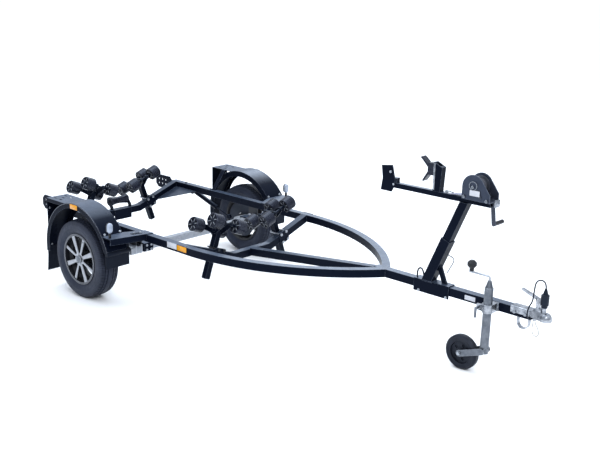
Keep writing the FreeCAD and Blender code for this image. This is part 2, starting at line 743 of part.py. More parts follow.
def outrigger():
    """The front shelf and the rear strut that carry a mudguard on a rail."""
    z0, z1 = BAR_TOP, BAR_TOP + SHELF_T
    rail_y, out_y = RAIL_IN_Y + SEAT, GUARD_OUT_Y
    points = [V(SHELF_IN_X, rail_y, z0), V(SHELF_IN_X + SHELF_W, rail_y, z0),
              V(SHELF_OUT_X + SHELF_W, out_y, z0), V(SHELF_OUT_X, out_y, z0), V(SHELF_OUT_X, GUARD_IN_Y, z0)]
    shelf = plate(points, V(0, 0, z1 - z0))
    lip_y = RAIL_Y + BAR / 2 + SEAT
    share = (lip_y - rail_y) / (out_y - rail_y)
    lip_x = SHELF_IN_X + SHELF_W + (SHELF_OUT_X - SHELF_IN_X) * share
    lip = plate([V(lip_x, lip_y, z0 - SHELF_LIP), V(SHELF_OUT_X + SHELF_W, out_y, z0 - SHELF_LIP),
                 V(SHELF_OUT_X + SHELF_W, out_y, z1), V(lip_x, lip_y, z1)], V(-SHELF_T, 0, 0))
    front = join([shelf, lip]).cut(arch_core(-SEAT, GUARD_IN_Y - CUT, GUARD_OUT_Y + CUT))
    for count in range(SHELF_SLOTS):
        share = (count + 1) / (SHELF_SLOTS + 1)
        y = lip_y + (GUARD_IN_Y - lip_y) * share
        x = SHELF_IN_X + SHELF_W / 2 + (SHELF_OUT_X - SHELF_IN_X) * (y - rail_y) / (out_y - rail_y)
        half = (SHELF_SLOT_L - SLOT_W) / 2
        slot = [box(x - half, x + half, y - SLOT_W / 2, y + SLOT_W / 2, z0 - CUT, z1 + CUT)]
        slot += [rod(V(end, y, z0 - CUT), V(end, y, z1 + CUT), SLOT_W / 2) for end in (x - half, x + half)]
        front = front.cut(join(slot))
    return [front, rear_brace()]


# Lamps and reflectors

def marker_lamp():
    """An upright rounded lens that faces forward, on a foot that stands on the front shelf."""
    half_w, half_h = MARKER_W / 2, (MARKER_H - MARKER_W) / 2
    x0, x1 = MARKER_X - MARKER_T / 2, MARKER_X + MARKER_T / 2
    block = box(x0, x1, MARKER_Y - half_w, MARKER_Y + half_w, MARKER_Z - half_h, MARKER_Z + half_h)
    low, high = MARKER_Z - half_h, MARKER_Z + half_h
    ends = [rod(V(x0, MARKER_Y, z), V(x1, MARKER_Y, z), half_w) for z in (low, high)]
    lens = join([block] + ends)
    front = [edge for edge in lens.Edges if abs(edge.CenterOfMass.x - x1) < SEAT]
    lens = lens.makeFillet(MARKER_T / 3, front)
    foot = rod(V(MARKER_X, MARKER_Y, BAR_TOP + SHELF_T), V(MARKER_X, MARKER_Y, MARKER_Z), MARKER_FOOT_R)
    return join([lens, foot])


def side_reflectors():
    """The amber reflectors on a mudguard's lip and on a rail."""
    y = GUARD_OUT_Y + SEAT
    first = box(REFLECTOR_X - REFLECTOR_L / 2, REFLECTOR_X + REFLECTOR_L / 2, y, y + REFLECTOR_T,
                REFLECTOR_Z - REFLECTOR_H / 2, REFLECTOR_Z + REFLECTOR_H / 2)
    y = RAIL_Y + BAR / 2
    second = box(RAIL_REFLECTOR_X - REFLECTOR_L / 2, RAIL_REFLECTOR_X + REFLECTOR_L / 2, y, y + REFLECTOR_T,
                 BAR_MID - REFLECTOR_H / 2, BAR_MID + REFLECTOR_H / 2)
    return [first, second]


# Road wheels

def tyre(y, radius, width, tread, bead, rim, wall_r):
    """A tyre about the axle line through y, with round sidewalls and a crowned tread."""
    def at(r, offset):
        return V(0, y + offset, WHEEL_R + r)

    half, flat = width / 2, tread / 2
    seat = half * BEAD_SEAT_SHARE
    edges = []
    for side in (1, -1):
        edges += [Part.LineSegment(at(bead, side * seat), at(rim + CUT, side * seat)),
                  Part.Arc(at(rim + CUT, side * seat), at((rim + wall_r) / 2, side * (half + seat) * SIDEWALL_BULGE_SHARE),
                           at(wall_r, side * half)),
                  Part.Arc(at(wall_r, side * half), at((wall_r + radius) / 2, side * (half * 2 + flat) / 3),
                           at(radius - SHOULDER_DROP, side * flat))]
    edges += [Part.Arc(at(radius - SHOULDER_DROP, flat), at(radius, 0), at(radius - SHOULDER_DROP, -flat)),
              Part.LineSegment(at(bead, seat), at(bead, -seat))]
    wire = Part.Wire(Part.__sortEdges__([edge.toShape() for edge in edges]))
    return Part.Face(wire).revolve(V(0, y, WHEEL_R), Y, 360)


def spoke(count):
    """One spoke, wide or slim in turn, in the plane of the wheel's face."""
    angle = math.radians(SPOKE_START_DEG + 360 * count / SPOKES)
    root, tip = (WIDE_ROOT_W, WIDE_TIP_W) if count % 2 == 0 else (SLIM_ROOT_W, SLIM_TIP_W)
    along, across = V(math.cos(angle), 0, math.sin(angle)), V(-math.sin(angle), 0, math.cos(angle))
    near, far = HUB_R / 2, BEAD_R - RIM_WALL / 2
    deep = SPOKE_T
    points = [along * near - across * (root / 2), along * far - across * (tip / 2),
              along * far + across * (tip / 2), along * near + across * (root / 2)]
    bar = plate(points, V(0, deep, 0))
    edges = [edge for edge in bar.Edges if abs(edge.CenterOfMass.y - deep) < CUT
             and abs(edge.tangentAt(0).dot(along)) > math.sin(math.pi / 4)]
    return bar.makeChamfer(SPOKE_EDGE, edges)


def rim(y):
    """A cast wheel: a dropped well between two flanges, eight spokes and a bored hub."""
    half = RIM_W / 2
    seat_r = BEAD_R - SEAT
    lip = RIM_WALL
    outer = [(RIM_R, -half), (RIM_R, lip - half), (seat_r, lip - half), (seat_r, -half / 2),
             (seat_r - RIM_WELL, -half / 4), (seat_r - RIM_WELL, half / 4), (seat_r, half / 2),
             (seat_r, half - lip), (RIM_R, half - lip), (RIM_R, half)]
    inner = [(seat_r - RIM_WALL, half), (seat_r - RIM_WALL, half / 2), (seat_r - RIM_WELL - RIM_WALL, half / 4),
             (seat_r - RIM_WELL - RIM_WALL, -half / 4), (seat_r - RIM_WALL, -half / 2),
             (seat_r - RIM_WALL, -half)]
    barrel = ring([V(0, offset, r) for r, offset in outer + inner], V(0, 0, 0), Y)
    face = half - SPOKE_INSET
    spokes = [spoke(count).translated(V(0, face - SPOKE_T, 0)) for count in range(SPOKES)]
    hub = rod(Y * -HUB_BACK_Y, Y * face, HUB_R)
    cap = rod(Y * face, Y * (face + HUB_CAP_T), HUB_CAP_R)
    cap = cap.makeChamfer(SPOKE_EDGE, [edge for edge in cap.Edges if edge.CenterOfMass.y > face + CUT])
    wheel = join([barrel, hub] + spokes)
    for count in range(LUGS):
        turn = 2 * math.pi * count / LUGS
        place = V(LUG_PITCH_R * math.sin(turn), face - LUG_DEPTH, LUG_PITCH_R * math.cos(turn))
        wheel = wheel.cut(rod(place, place + Y * (LUG_DEPTH + CUT), LUG_R))
    bore = rod(Y * (-HUB_BACK_Y - CUT), Y * (half - SPOKE_T), STUB_R + RUN_FIT)
    return join([wheel, cap]).cut(bore).translated(V(0, y, WHEEL_R))


# Roller cradles, drawn about their pivot on the left side: x forward, y across and z up

def rocker_place(shape, cradle):
    """Noses a cradle up, tilts it towards the keel and sets it on its pivot."""
    nose = FreeCAD.Rotation(Y, -CRADLE_PITCH_DEG)
    tilt = FreeCAD.Rotation(X, ROCKER_TILT_DEG)
    placed = shape.copy()
    placed.Placement = FreeCAD.Placement(pivot_point(cradle), tilt.multiply(nose)).multiply(shape.Placement)
    return placed


CRADLES = {"front": (CROSS_FRONT_X, FRONT_POST_Y), "rear": (CROSS_REAR_X, REAR_POST_Y)}


def post_foot(cradle):
    """Where a cradle post's centre line crosses the arm's centre line."""
    x, y = CRADLES[cradle]
    return V(x - (BAR + POST_BAR) / 2, y, arm_z(y))


def pivot_point(cradle):
    return post_foot(cradle) + POST_UPWARD * CRADLE_PIVOT_RISE


def cradle_post(cradle):
    """A square post on the rear face of a cross-member, with the rocker's pivot pin through its top."""
    foot, pivot = post_foot(cradle), pivot_point(cradle)
    low, high = foot - POST_UPWARD * POST_DOWN, pivot + POST_UPWARD * POST_UP
    tube = square_tube(low, high, POST_BAR, X, WALL)
    reach = BEAM_GAP / 2 + BEAM_T + SEAT
    pin = rod(pivot - CRADLE_ACROSS * reach, pivot + CRADLE_ACROSS * reach, PIVOT_R)
    heads = [disc(pivot + CRADLE_ACROSS * (side * (reach + COLLAR_T / 2)), CRADLE_ACROSS, COLLAR_R, COLLAR_T)
             for side in (-1, 1)]
    return join([tube, pin] + heads)


def clamp_plate(cradle):
    """The plate on the front of a cross-member that the post's square bolts pull against."""
    front = post_foot(cradle) + X * (POST_BAR / 2 + BAR)
    half = CLAMP_HALF
    pad = box(-half, half, -half, half, 0, CLAMP_T)
    edges = [edge for edge in pad.Edges if abs(edge.tangentAt(0).z) > SEAT]
    pad = set_at(pad.makeFillet(CLAMP_T, edges), front, X, POST_ACROSS)
    for bolt in square_bolts(cradle, CLAMP_BOLT_R + SEAT):
        pad = pad.cut(bolt)
    return pad


def square_bolts(cradle, radius):
    """The two bolts bent round a post, above and below the arm, with a nut on each end."""
    side = POST_BAR / 2 + CLAMP_BOLT_R + SEAT
    back = post_foot(cradle) - X * side
    reach = side + POST_BAR / 2 + BAR + CLAMP_T
    bolts = []
    for level in (-1, 1):
        shift = POST_UPWARD * (level * (BAR / 2 + CLAMP_BOLT_R + SEAT))
        legs = [back + shift + POST_ACROSS * (way * side) for way in (-1, 1)]
        parts = [rod(leg, leg + X * (reach + NUT_T + CUT), radius) for leg in legs]
        parts += [Part.makeSphere(radius, leg) for leg in legs]
        parts.append(rod(legs[0], legs[1], radius))
        if radius == CLAMP_BOLT_R:
            parts += [rod(leg + X * (reach + SEAT), leg + X * (reach + NUT_T), NUT_R) for leg in legs]
        bolts.append(join(parts))
    return bolts


def rocker():
    """Two bent side plates on the pivot with a cross rod at each end."""
    rise, half = V(0, 0, PIVOT_DROP), ROD_SPACING / 2
    parts = []
    for side in (-1, 1):
        y = Y * (side * (BEAM_GAP + BEAM_T) / 2)
        for way in (-1, 1):
            parts.append(link(y, BEAM_EYE_R, y + rise + X * (way * half), BEAM_END_R, Y, BEAM_T))
    inner = ROLLER_SPACING / 2 - ROLLER_W / 2 + ROLLER_DISH - RIB_INSET - COLLAR_T / 2 - SEAT
    reach = ROLLER_SPACING / 2 + ROLLER_W / 2
    for way in (-1, 1):
        middle = rise + X * (way * half)
        parts.append(rod(middle - Y * reach, middle + Y * reach, ROD_R))
        outer = ROLLER_SPACING / 2 + ROLLER_W / 2 - ROLLER_DISH + RIB_INSET + COLLAR_T / 2 + SEAT
        for offset in (-outer, -inner, inner, outer):
            parts.append(disc(middle + Y * offset, Y, COLLAR_R, COLLAR_T))
    body = join(parts)
    reach = BEAM_GAP + BEAM_T
    return body.cut(rod(Y * -reach, Y * reach, PIVOT_R + RUN_FIT))


def roller():
    """A ribbed rubber roller about the y axis, with a spoked web behind each open end."""
    half, web = ROLLER_W / 2, ROLLER_W / 2 - ROLLER_DISH
    rim_r, hub_r = ROLLER_R - ROLLER_RIM, ROLLER_HUB_R
    bore = ROD_R + RUN_FIT
    outer = [(ROLLER_R - ROLLER_EDGE, half), (ROLLER_R, half - ROLLER_EDGE)]
    step = ROLLER_W / (ROLLER_GROOVES + 1)
    for count in range(1, ROLLER_GROOVES + 1):
        y = half - step * count
        outer += [(ROLLER_R, y + GROOVE_W / 2), (ROLLER_R - GROOVE_DEPTH, y), (ROLLER_R, y - GROOVE_W / 2)]
    outer += [(ROLLER_R, ROLLER_EDGE - half), (ROLLER_R - ROLLER_EDGE, -half)]
    low = [(rim_r, -half), (rim_r, -web), (hub_r, -web), (hub_r, -web - RIB_INSET), (bore, -web - RIB_INSET)]
    high = [(r, -y) for r, y in reversed(low)]
    body = ring([V(0, y, r) for r, y in outer + low + high], V(0, 0, 0), Y)
    ribs = []
    for count in range(ROLLER_RIBS):
        turn = FreeCAD.Rotation(Y, 360 * count / ROLLER_RIBS)
        for y0, y1 in ((web - CUT, half - RIB_INSET), (RIB_INSET - half, CUT - web)):
            rib = box(hub_r - SEAT, rim_r + CUT, -RIB_T / 2, RIB_T / 2, 0, y1 - y0)
            rib = set_at(rib, V(0, y0, 0), Y, X)
            rib.Placement = FreeCAD.Placement(V(0, 0, 0), turn).multiply(rib.Placement)
            ribs.append(rib)
    return join([body] + ribs)


def roller_pair(way):
    """The two rollers on a cradle's front or rear rod."""
    one = roller()
    middle = V(way * ROD_SPACING / 2, 0, PIVOT_DROP)
    return Part.makeCompound([one.translated(middle + Y * (side * ROLLER_SPACING / 2)) for side in (-1, 1)])


CROSS_TOP_Z = CROSS_MID_Z + BAR / 2
KEEL_ROLLER = V(CROSS_REAR_X - KEEL_ROLLER_BACK, 0, CROSS_TOP_Z + KEEL_ROLLER_RISE)


def keel_roller():
    """A waisted rubber roller that steers the keel to the middle."""
    half, flat = KEEL_ROLLER_W / 2, KEEL_ROLLER_W / 2 - KEEL_ROLLER_END
    bore = ROD_R + RUN_FIT
    corners = [V(0, -half, bore), V(0, -half, KEEL_ROLLER_R), V(0, -flat, KEEL_ROLLER_R), V(0, flat, KEEL_ROLLER_R),
               V(0, half, KEEL_ROLLER_R), V(0, half, bore)]
    edges = [Part.LineSegment(corners[0], corners[1]), Part.LineSegment(corners[1], corners[2]),
             Part.Arc(corners[2], V(0, 0, KEEL_WAIST_R), corners[3]), Part.LineSegment(corners[3], corners[4]),
             Part.LineSegment(corners[4], corners[5]), Part.LineSegment(corners[5], corners[0])]
    wire = Part.Wire([edge.toShape() for edge in edges])
    return Part.Face(wire).revolve(V(0, 0, 0), Y, 360).translated(KEEL_ROLLER)


def keel_bracket():
    """The plate on the rear cross-member and the two ears of the keel roller."""
    x = CROSS_REAR_X + BAR / 2
    face = box(x, x + KEEL_PLATE_T, -KEEL_PLATE_HALF, KEEL_PLATE_HALF, CROSS_TOP_Z - KEEL_PLATE_H, CROSS_TOP_Z)
    ears = []
    for side in (-1, 1):
        y = side * (KEEL_ROLLER_W / 2 + SEAT + KEEL_PLATE_T / 2)
        foot = V(CROSS_REAR_X, y, CROSS_TOP_Z + KEEL_EAR_R)
        ears.append(link(V(KEEL_ROLLER.x, y, KEEL_ROLLER.z), KEEL_EAR_R, foot, KEEL_EAR_R, Y, KEEL_PLATE_T))
        ears.append(box(CROSS_REAR_X - KEEL_EAR_R, CROSS_REAR_X + KEEL_EAR_R, y - KEEL_PLATE_T / 2,
                        y + KEEL_PLATE_T / 2, CROSS_TOP_Z, foot.z))
    reach = KEEL_ROLLER_W / 2 + 2 * KEEL_PLATE_T
    pin = rod(KEEL_ROLLER - Y * reach, KEEL_ROLLER + Y * reach, ROD_R)
    return [face, join(ears + [pin])]


# Winch post, bow stop and winch

POST_ALONG = V(math.sin(LEAN), 0, math.cos(LEAN))
POST_FOOT = V(POST_FOOT_X, 0, BAR_TOP + FOOT_T)


def post_base():
    """The saddle on the drawbar and the sleeve that leans forward from it."""
    half = BAR / 2
    top = box(FOOT_REAR_X, FOOT_FRONT_X, -half - FOOT_T, half + FOOT_T, BAR_TOP, BAR_TOP + FOOT_T)
    sides = [box(FOOT_REAR_X, FOOT_FRONT_X, y, y + FOOT_T, BAR_TOP + FOOT_T - FOOT_H, BAR_TOP)
             for y in (-half - FOOT_T, half)]
    low = POST_FOOT - POST_ALONG * SLEEVE_BAR
    sleeve = square_tube(low, POST_FOOT + POST_ALONG * SLEEVE_LONG, SLEEVE_BAR, Y, SLEEVE_WALL)
    ground = box(FOOT_REAR_X - BAR, FOOT_FRONT_X + BAR, -SLEEVE_BAR, SLEEVE_BAR, 0, BAR_TOP)
    return join([top, sleeve.cut(ground)] + sides)


def post_strut():
    """The flat stay in front of the sleeve."""
    base_z = BAR_TOP + FOOT_T
    lean = math.tan(LEAN)
    top_x = POST_FOOT_X + STRUT_TOP * lean + SLEEVE_BAR / 2
    foot_x = FOOT_FRONT_X - STRUT_FOOT
    points = [V(foot_x - STRUT_W, -STRUT_T / 2, base_z), V(foot_x, -STRUT_T / 2, base_z),
              V(top_x, -STRUT_T / 2, base_z + STRUT_TOP), V(top_x - STRUT_W, -STRUT_T / 2, base_z + STRUT_TOP)]
    sleeve = square_tube(POST_FOOT, POST_FOOT + POST_ALONG * SLEEVE_LONG, SLEEVE_BAR, Y, SLEEVE_BAR / 2 - CUT)
    stay = plate(points, V(0, STRUT_T, 0)).cut(sleeve)
    return max(stay.Solids, key=lambda piece: piece.Volume)


def mast():
    """The telescoping inner tube and the level bar on its top."""
    reach = (ARM_Z - ARM_BAR / 2 - POST_FOOT.z) / math.cos(LEAN)
    tube = square_tube(POST_FOOT + POST_ALONG * (SLEEVE_LONG - MAST_LAP),
                       POST_FOOT + POST_ALONG * (reach + MAST_BAR), MAST_BAR, Y, WALL)
    above = box(ARM_REAR_X, ARM_FRONT_X + MAST_BAR, -MAST_BAR, MAST_BAR, ARM_Z - ARM_BAR / 2, ARM_Z + MAST_BAR * 2)
    bar = square_tube(V(ARM_REAR_X, 0, ARM_Z), V(ARM_FRONT_X, 0, ARM_Z), ARM_BAR, Y, WALL)
    return join([tube.cut(above), bar])


def bow_stop():
    """The kinked upright plate at the bar's rear end."""
    y = -ARM_BAR / 2 - STOP_T
    x0, x1 = STOP_X - STOP_LONG / 2, STOP_X + STOP_LONG / 2
    low, knee, high = ARM_Z - STOP_LOW, ARM_Z + STOP_KINK, ARM_Z + STOP_TOP
    bulge = STOP_BULGE
    points = [V(x0, y, low), V(x1, y, low), V(x1 + bulge, y, ARM_Z), V(x1 + bulge, y, knee), V(x1, y, high),
              V(x0, y, high - bulge / 2), V(x0 + bulge / 2, y, knee)]
    return plate(points, V(0, STOP_T, 0))


def stop_block():
    """The block on the bar's rear end that carries the bow stop."""
    x1 = ARM_REAR_X + STOP_BLOCK_L
    z0 = ARM_Z + ARM_BAR / 2
    return box(ARM_REAR_X, x1, -ARM_BAR / 2, ARM_BAR / 2, z0, z0 + STOP_BLOCK_H)


def catch():
    """The folded upright channel that carries the bow catch."""
    half = CATCH_W / 2
    z0, z1 = ARM_Z + ARM_BAR / 2, ARM_Z + ARM_BAR / 2 + CATCH_TALL
    side = [V(CATCH_X, -half, z0), V(CATCH_X + CATCH_LONG - CATCH_LEAN, -half, z0),
            V(CATCH_X + CATCH_LONG, -half, z1 - CATCH_SLOPE), V(CATCH_X, -half, z1)]
    block = plate(side, V(0, CATCH_W, 0))
    hollow = box(CATCH_X + CATCH_WALL, CATCH_X + CATCH_LONG - CATCH_LEAN - CATCH_WALL, CATCH_WALL - half,
                 half - CATCH_WALL, z0 + CATCH_WALL, z1 + CUT)
    return block.cut(hollow)


def catch_fork():
    """The rubber fork that takes the bow eye."""
    half = CATCH_W / 2
    hub_z = ARM_Z + CATCH_HUB_RISE
    x1 = CATCH_X - SEAT
    hub = box(x1 - CATCH_HUB_L, x1, -half, half, hub_z - CATCH_HUB_H / 2, hub_z + CATCH_HUB_H / 2)
    edges = [edge for edge in hub.Edges if abs(edge.tangentAt(0).y) > SEAT and edge.CenterOfMass.x < x1 - SEAT]
    parts = [hub.makeFillet(PRONG_ROOT_T / 2, edges)]
    root = V(x1 - CATCH_HUB_L / 2, 0, hub_z)
    for way, degrees in ((1, PRONG_UP_DEG), (-1, PRONG_DOWN_DEG)):
        angle = math.radians(degrees)
        tip = root + V(-math.cos(angle), 0, way * math.sin(angle)) * PRONG_LONG
        parts.append(link(root, PRONG_ROOT_T / 2, tip, PRONG_TIP_T / 2, Y, CATCH_W))
    return join(parts)


WINCH_BASE_Z = ARM_Z + ARM_BAR / 2
DRUM = V(WINCH_REAR_X + WINCH_HEAD_R, 0, WINCH_BASE_Z + WINCH_HEAD_RISE)
PINION_OUT = DRUM_FLANGE_R + PINION_GAP + PINION_R
PINION_TURN = math.radians(PINION_ANGLE_DEG)
PINION = DRUM + V(math.cos(PINION_TURN), 0, math.sin(PINION_TURN)) * PINION_OUT


def cheek(y):
    """A side plate of the winch: round over the drum, sloping down to the crank shaft."""
    x0, x1 = WINCH_REAR_X, WINCH_REAR_X + WINCH_LONG
    r = WINCH_HEAD_R
    centre = V(DRUM.x, y, DRUM.z)
    shoulder = V(x1, y, WINCH_BASE_Z + WINCH_SHOULDER)
    gap = shoulder - centre
    touch = math.atan2(gap.z, gap.x) + math.acos(r / gap.Length)
    last = centre + V(math.cos(touch), 0, math.sin(touch)) * r
    half_turn = (touch + math.pi) / 2
    first, middle = centre - X * r, centre + V(math.cos(half_turn), 0, math.sin(half_turn)) * r
    low_rear, low_front = V(x0, y, WINCH_BASE_Z), V(x1, y, WINCH_BASE_Z)
    edges = [Part.LineSegment(low_rear, first), Part.Arc(first, middle, last), Part.LineSegment(last, shoulder),
             Part.LineSegment(shoulder, low_front), Part.LineSegment(low_front, low_rear)]
    wire = Part.Wire([edge.toShape() for edge in edges])
    return Part.Face(wire).extrude(V(0, WINCH_T, 0))


def winch_frame():
    """A folded base with two cheeks for the drum and crank shafts."""
    half = WINCH_W / 2
    base = box(WINCH_REAR_X, WINCH_REAR_X + WINCH_LONG, -half, half, WINCH_BASE_Z, WINCH_BASE_Z + WINCH_T)
    frame = join([base, cheek(-half), cheek(half - WINCH_T)])
    for place, radius in ((DRUM, DRUM_R / 2), (PINION, CRANK_SHAFT_R)):
        frame = frame.cut(rod(place - Y * WINCH_W, place + Y * WINCH_W, radius + RUN_FIT))
    return frame


def winch_drum():
    """The drum with its flanges, its wound strap and its shaft."""
    half = WINCH_W / 2 - WINCH_T - DRUM_GAP
    reach = WINCH_W / 2 + WINCH_T
    shaft = rod(DRUM - Y * reach, DRUM + Y * reach, DRUM_R / 2)
    gear = rod(DRUM + Y * (half - GEAR_T), DRUM + Y * half, DRUM_FLANGE_R)
    flange = rod(DRUM - Y * half, DRUM - Y * (half - DRUM_FLANGE_T), DRUM_FLANGE_R)
    core = rod(DRUM - Y * half, DRUM + Y * half, DRUM_R)
    strap = rod(DRUM - Y * (half - DRUM_FLANGE_T), DRUM + Y * (half - GEAR_T), STRAP_R)
    return join([shaft, gear, flange, core, strap])


def winch_crank():
    """The crank shaft with its pinion and boss, the crank arm and its grip."""
    half = WINCH_W / 2
    shaft = rod(PINION - Y * (half + WINCH_T), PINION + Y * (half + CRANK_OUT), CRANK_SHAFT_R)
    inner = half - WINCH_T - DRUM_GAP
    pinion = rod(PINION + Y * (inner - GEAR_T), PINION + Y * inner, PINION_R)
    boss = rod(PINION + Y * (half + WINCH_T), PINION + Y * (half + CRANK_OUT), CRANK_BOSS_R)
    lean = math.radians(CRANK_LEAN_DEG)
    start = PINION + Y * (half + CRANK_OUT - CRANK_T / 2)
    tip = start + V(math.sin(lean), 0, -math.cos(lean)) * CRANK_LONG
    arm = link(start, CRANK_W / 2, tip, CRANK_W / 2, Y, CRANK_T)
    grip = rod(tip, tip + Y * GRIP_LONG, GRIP_R)
    return join([shaft, pinion, boss, arm, grip])


# Coupling

SOCKET_OUT_R = BALL_R + BALL_FIT + SOCKET_WALL
SOCKET = V(COUPLING_TIP_X - SOCKET_OUT_R, 0, SOCKET_Z)


def coupling():
    """A pressed housing over the drawbar that runs out into the ball socket."""
    half, side = BAR / 2, BAR / 2 + HOUSING_T
    low_z, top_z = BAR_TOP - HOUSING_SIDE, BAR_TOP + HOUSING_T
    shell = box(HOUSING_REAR_X, BAR_FRONT_X, -side, side, low_z, top_z)
    long_edges = [edge for edge in shell.Edges if abs(edge.tangentAt(0).x) > SEAT and edge.CenterOfMass.z > BAR_TOP]
    shell = shell.makeFillet(HOUSING_ROUND, long_edges)
    hollow = box(HOUSING_REAR_X - CUT, BAR_FRONT_X, -half, half, low_z - CUT, BAR_TOP)
    r = SOCKET_OUT_R
    crown = SOCKET_Z + r * SOCKET_CROWN_SHARE
    rear = [V(BAR_FRONT_X, -side, low_z), V(BAR_FRONT_X, side, low_z), V(BAR_FRONT_X, half, top_z),
            V(BAR_FRONT_X, -half, top_z)]
    front = [V(SOCKET.x, -r, SOCKET_Z - SOCKET_SKIRT), V(SOCKET.x, r, SOCKET_Z - SOCKET_SKIRT),
             V(SOCKET.x, r / 2, crown), V(SOCKET.x, -r / 2, crown)]
    neck = Part.makeLoft([Part.makePolygon(rear + rear[:1]), Part.makePolygon(front + front[:1])], True)
    ball = Part.makeSphere(r, SOCKET)
    skirt = rod(SOCKET - Z * SOCKET_SKIRT, SOCKET, r)
    pivot = box(PIVOT_BLOCK_X, PIVOT_BLOCK_X + PIVOT_BLOCK_L, -PIVOT_BLOCK_W / 2, PIVOT_BLOCK_W / 2,
                BAR_MID, BAR_TOP + PIVOT_BLOCK_H)
    tops = [edge for edge in pivot.Edges if edge.CenterOfMass.z > BAR_TOP + PIVOT_BLOCK_H - SEAT]
    pivot = pivot.makeFillet(HOUSING_ROUND, tops)
    rest = rod(V(PLUG_X, 0, SOCKET_Z + BALL_R), V(PLUG_X, 0, PLUG_LOW_Z), REST_R)
    ferrule = rod(V(SAFETY_X, 0, SOCKET_Z), V(SAFETY_X, 0, ferrule_low()), FERRULE_R)
    head = join([shell, neck, ball, skirt, pivot, rest])
    below = box(BAR_FRONT_X, COUPLING_TIP_X + CUT, -side - CUT, side + CUT, 0, SOCKET_Z - SOCKET_SKIRT)
    room = BALL_R + BALL_FIT
    socket = Part.makeSphere(room, SOCKET).fuse(rod(SOCKET - Z * (2 * r), SOCKET, room))
    return join([head.cut(hollow).cut(below).cut(socket), ferrule])


def coupling_lever():
    """The bent release lever over the socket."""
    half, t = LEVER_W / 2, LEVER_T
    foot_z = BAR_TOP + PIVOT_BLOCK_H / 2
    points = [V(LEVER_FOOT_X - t, -half, foot_z), V(LEVER_FOOT_X + t, -half, foot_z),
              V(LEVER_KNEE_X + t, -half, LEVER_KNEE_Z + t), V(LEVER_TIP_X, -half, LEVER_TIP_Z + t),
              V(LEVER_TIP_X, -half, LEVER_TIP_Z), V(LEVER_KNEE_X - t, -half, LEVER_KNEE_Z)]
    return plate(points, V(0, LEVER_W, 0)).cut(coupling())


def chain_loop():
    """The bent strap under the drawbar that the safety chain hooks to."""
    top = BAR_BOTTOM
    centre = V(CHAIN_LOOP_X, 0, top - CHAIN_LOOP_DROP)
    half = CHAIN_LOOP_W / 2
    bodies = []
    for radius in (CHAIN_LOOP_R, CHAIN_LOOP_R - CHAIN_LOOP_T):
        round_end = rod(centre - Y * half, centre + Y * half, radius)
        bodies.append(round_end.fuse(box(centre.x - radius, centre.x + radius, -half, half, centre.z, top)))
    upper = box(centre.x - CHAIN_LOOP_R, centre.x + CHAIN_LOOP_R, -half, half, top, top + CHAIN_LOOP_R)
    return bodies[0].cut(bodies[1]).cut(upper)


# Plug and cables

def plug():
    """The trailer plug standing on the coupling's peg, with its tapered boot."""
    low = V(PLUG_X, 0, PLUG_LOW_Z + SEAT)
    foot = low + Z * PLUG_RING_H
    contact = rod(low, foot, PLUG_RING_R)
    body = rod(foot, foot + Z * PLUG_H, PLUG_R)
    body = body.makeChamfer(PLUG_EDGE, [edge for edge in body.Edges if edge.Closed])
    boot = Part.makeCone(BOOT_ROOT_R, BOOT_TIP_R, BOOT_H, foot + Z * PLUG_H, Z)
    return join([contact, body, boot])


def plug_cable_points():
    """Over the plug, down beside the lever and in through the drawbar's right wall."""
    top = V(PLUG_X, 0, PLUG_LOW_Z + SEAT + PLUG_RING_H + PLUG_H + BOOT_H + SEAT)
    run, across, fall, turn = CABLE_RUN, CABLE_RUN * math.cos(math.pi / 6), CABLE_FALL, CABLE_TURN
    side = -(BAR / 2 + HOUSING_T + CABLE_OUT)
    over = V(PLUG_X - 2 * across, side / 3, top.z + run)
    entry = V(BAR_FRONT_X - CABLE_BACK, side + turn, BAR_BOTTOM + CABLE_UP)
    low = V(entry.x, side, entry.z + turn)
    bend = over + V(0, side / 3, -2 * fall)
    knee = low + Z * run + (bend - low - Z * run) * (1 / 2) - X * CABLE_R
    return [top, V(PLUG_X, side / 16, over.z), V(PLUG_X - across, side / 6, over.z + run / 2), over,
            over + V(0, side / 5, -fall), bend, knee, low + Z * run, low, entry,
            entry + Y * (BAR / 2 - WALL)]


def ferrule_low():
    return SOCKET_Z - SOCKET_SKIRT - FERRULE_LONG


def safety_cable_points():
    """A hanging loop whose two ends are crimped side by side."""
    top, wide, long, half = ferrule_low() - SEAT, SAFETY_WIDE, SAFETY_LONG, SAFETY_HALF
    rear, front = SAFETY_X - half, SAFETY_X - half + 2 * wide
    low = top - long
    return [V(rear, 0, top), V(rear - half, 0, top - long / 2), V(rear, 0, low + wide * 3 / 4),
            V(rear + wide, 0, low),
            V(front, 0, low + wide * 3 / 4), V(front - half, 0, low + long / 2),
            V(SAFETY_X + half, 0, top - SAFETY_DROP), V(SAFETY_X + half, 0, top)]


# Jockey wheel, about its upright tube

def ground_z(x):
    """The ground under the leaning frame, seen in the level frame's own heights."""
    return WHEEL_R - WHEEL_R / math.cos(PARK) + x * math.tan(PARK)


def jockey_centre():
    """The jockey wheel's centre, so that the wheel just meets the ground."""
    x = JOCKEY_X - JOCKEY_TRAIL
    return V(x, JOCKEY_Y, ground_z(x) + JOCKEY_R / math.cos(PARK))


def jockey_axis(z):
    return V(JOCKEY_X, JOCKEY_Y, z)


def jockey_tube():
    """The outer tube with its domed cap."""
    low, top = jockey_axis(JOCKEY_TUBE_LOW_Z), jockey_axis(JOCKEY_TUBE_TOP_Z)
    bore = rod(low - Z * CUT, top - Z * JOCKEY_WALL, JOCKEY_TUBE_R - JOCKEY_WALL)
    tube = rod(low, top, JOCKEY_TUBE_R).cut(bore)
    cap = Part.makeCone(JOCKEY_CAP_R, JOCKEY_CAP_NECK_R, JOCKEY_CAP_H, top, Z)
    return join([tube, cap])


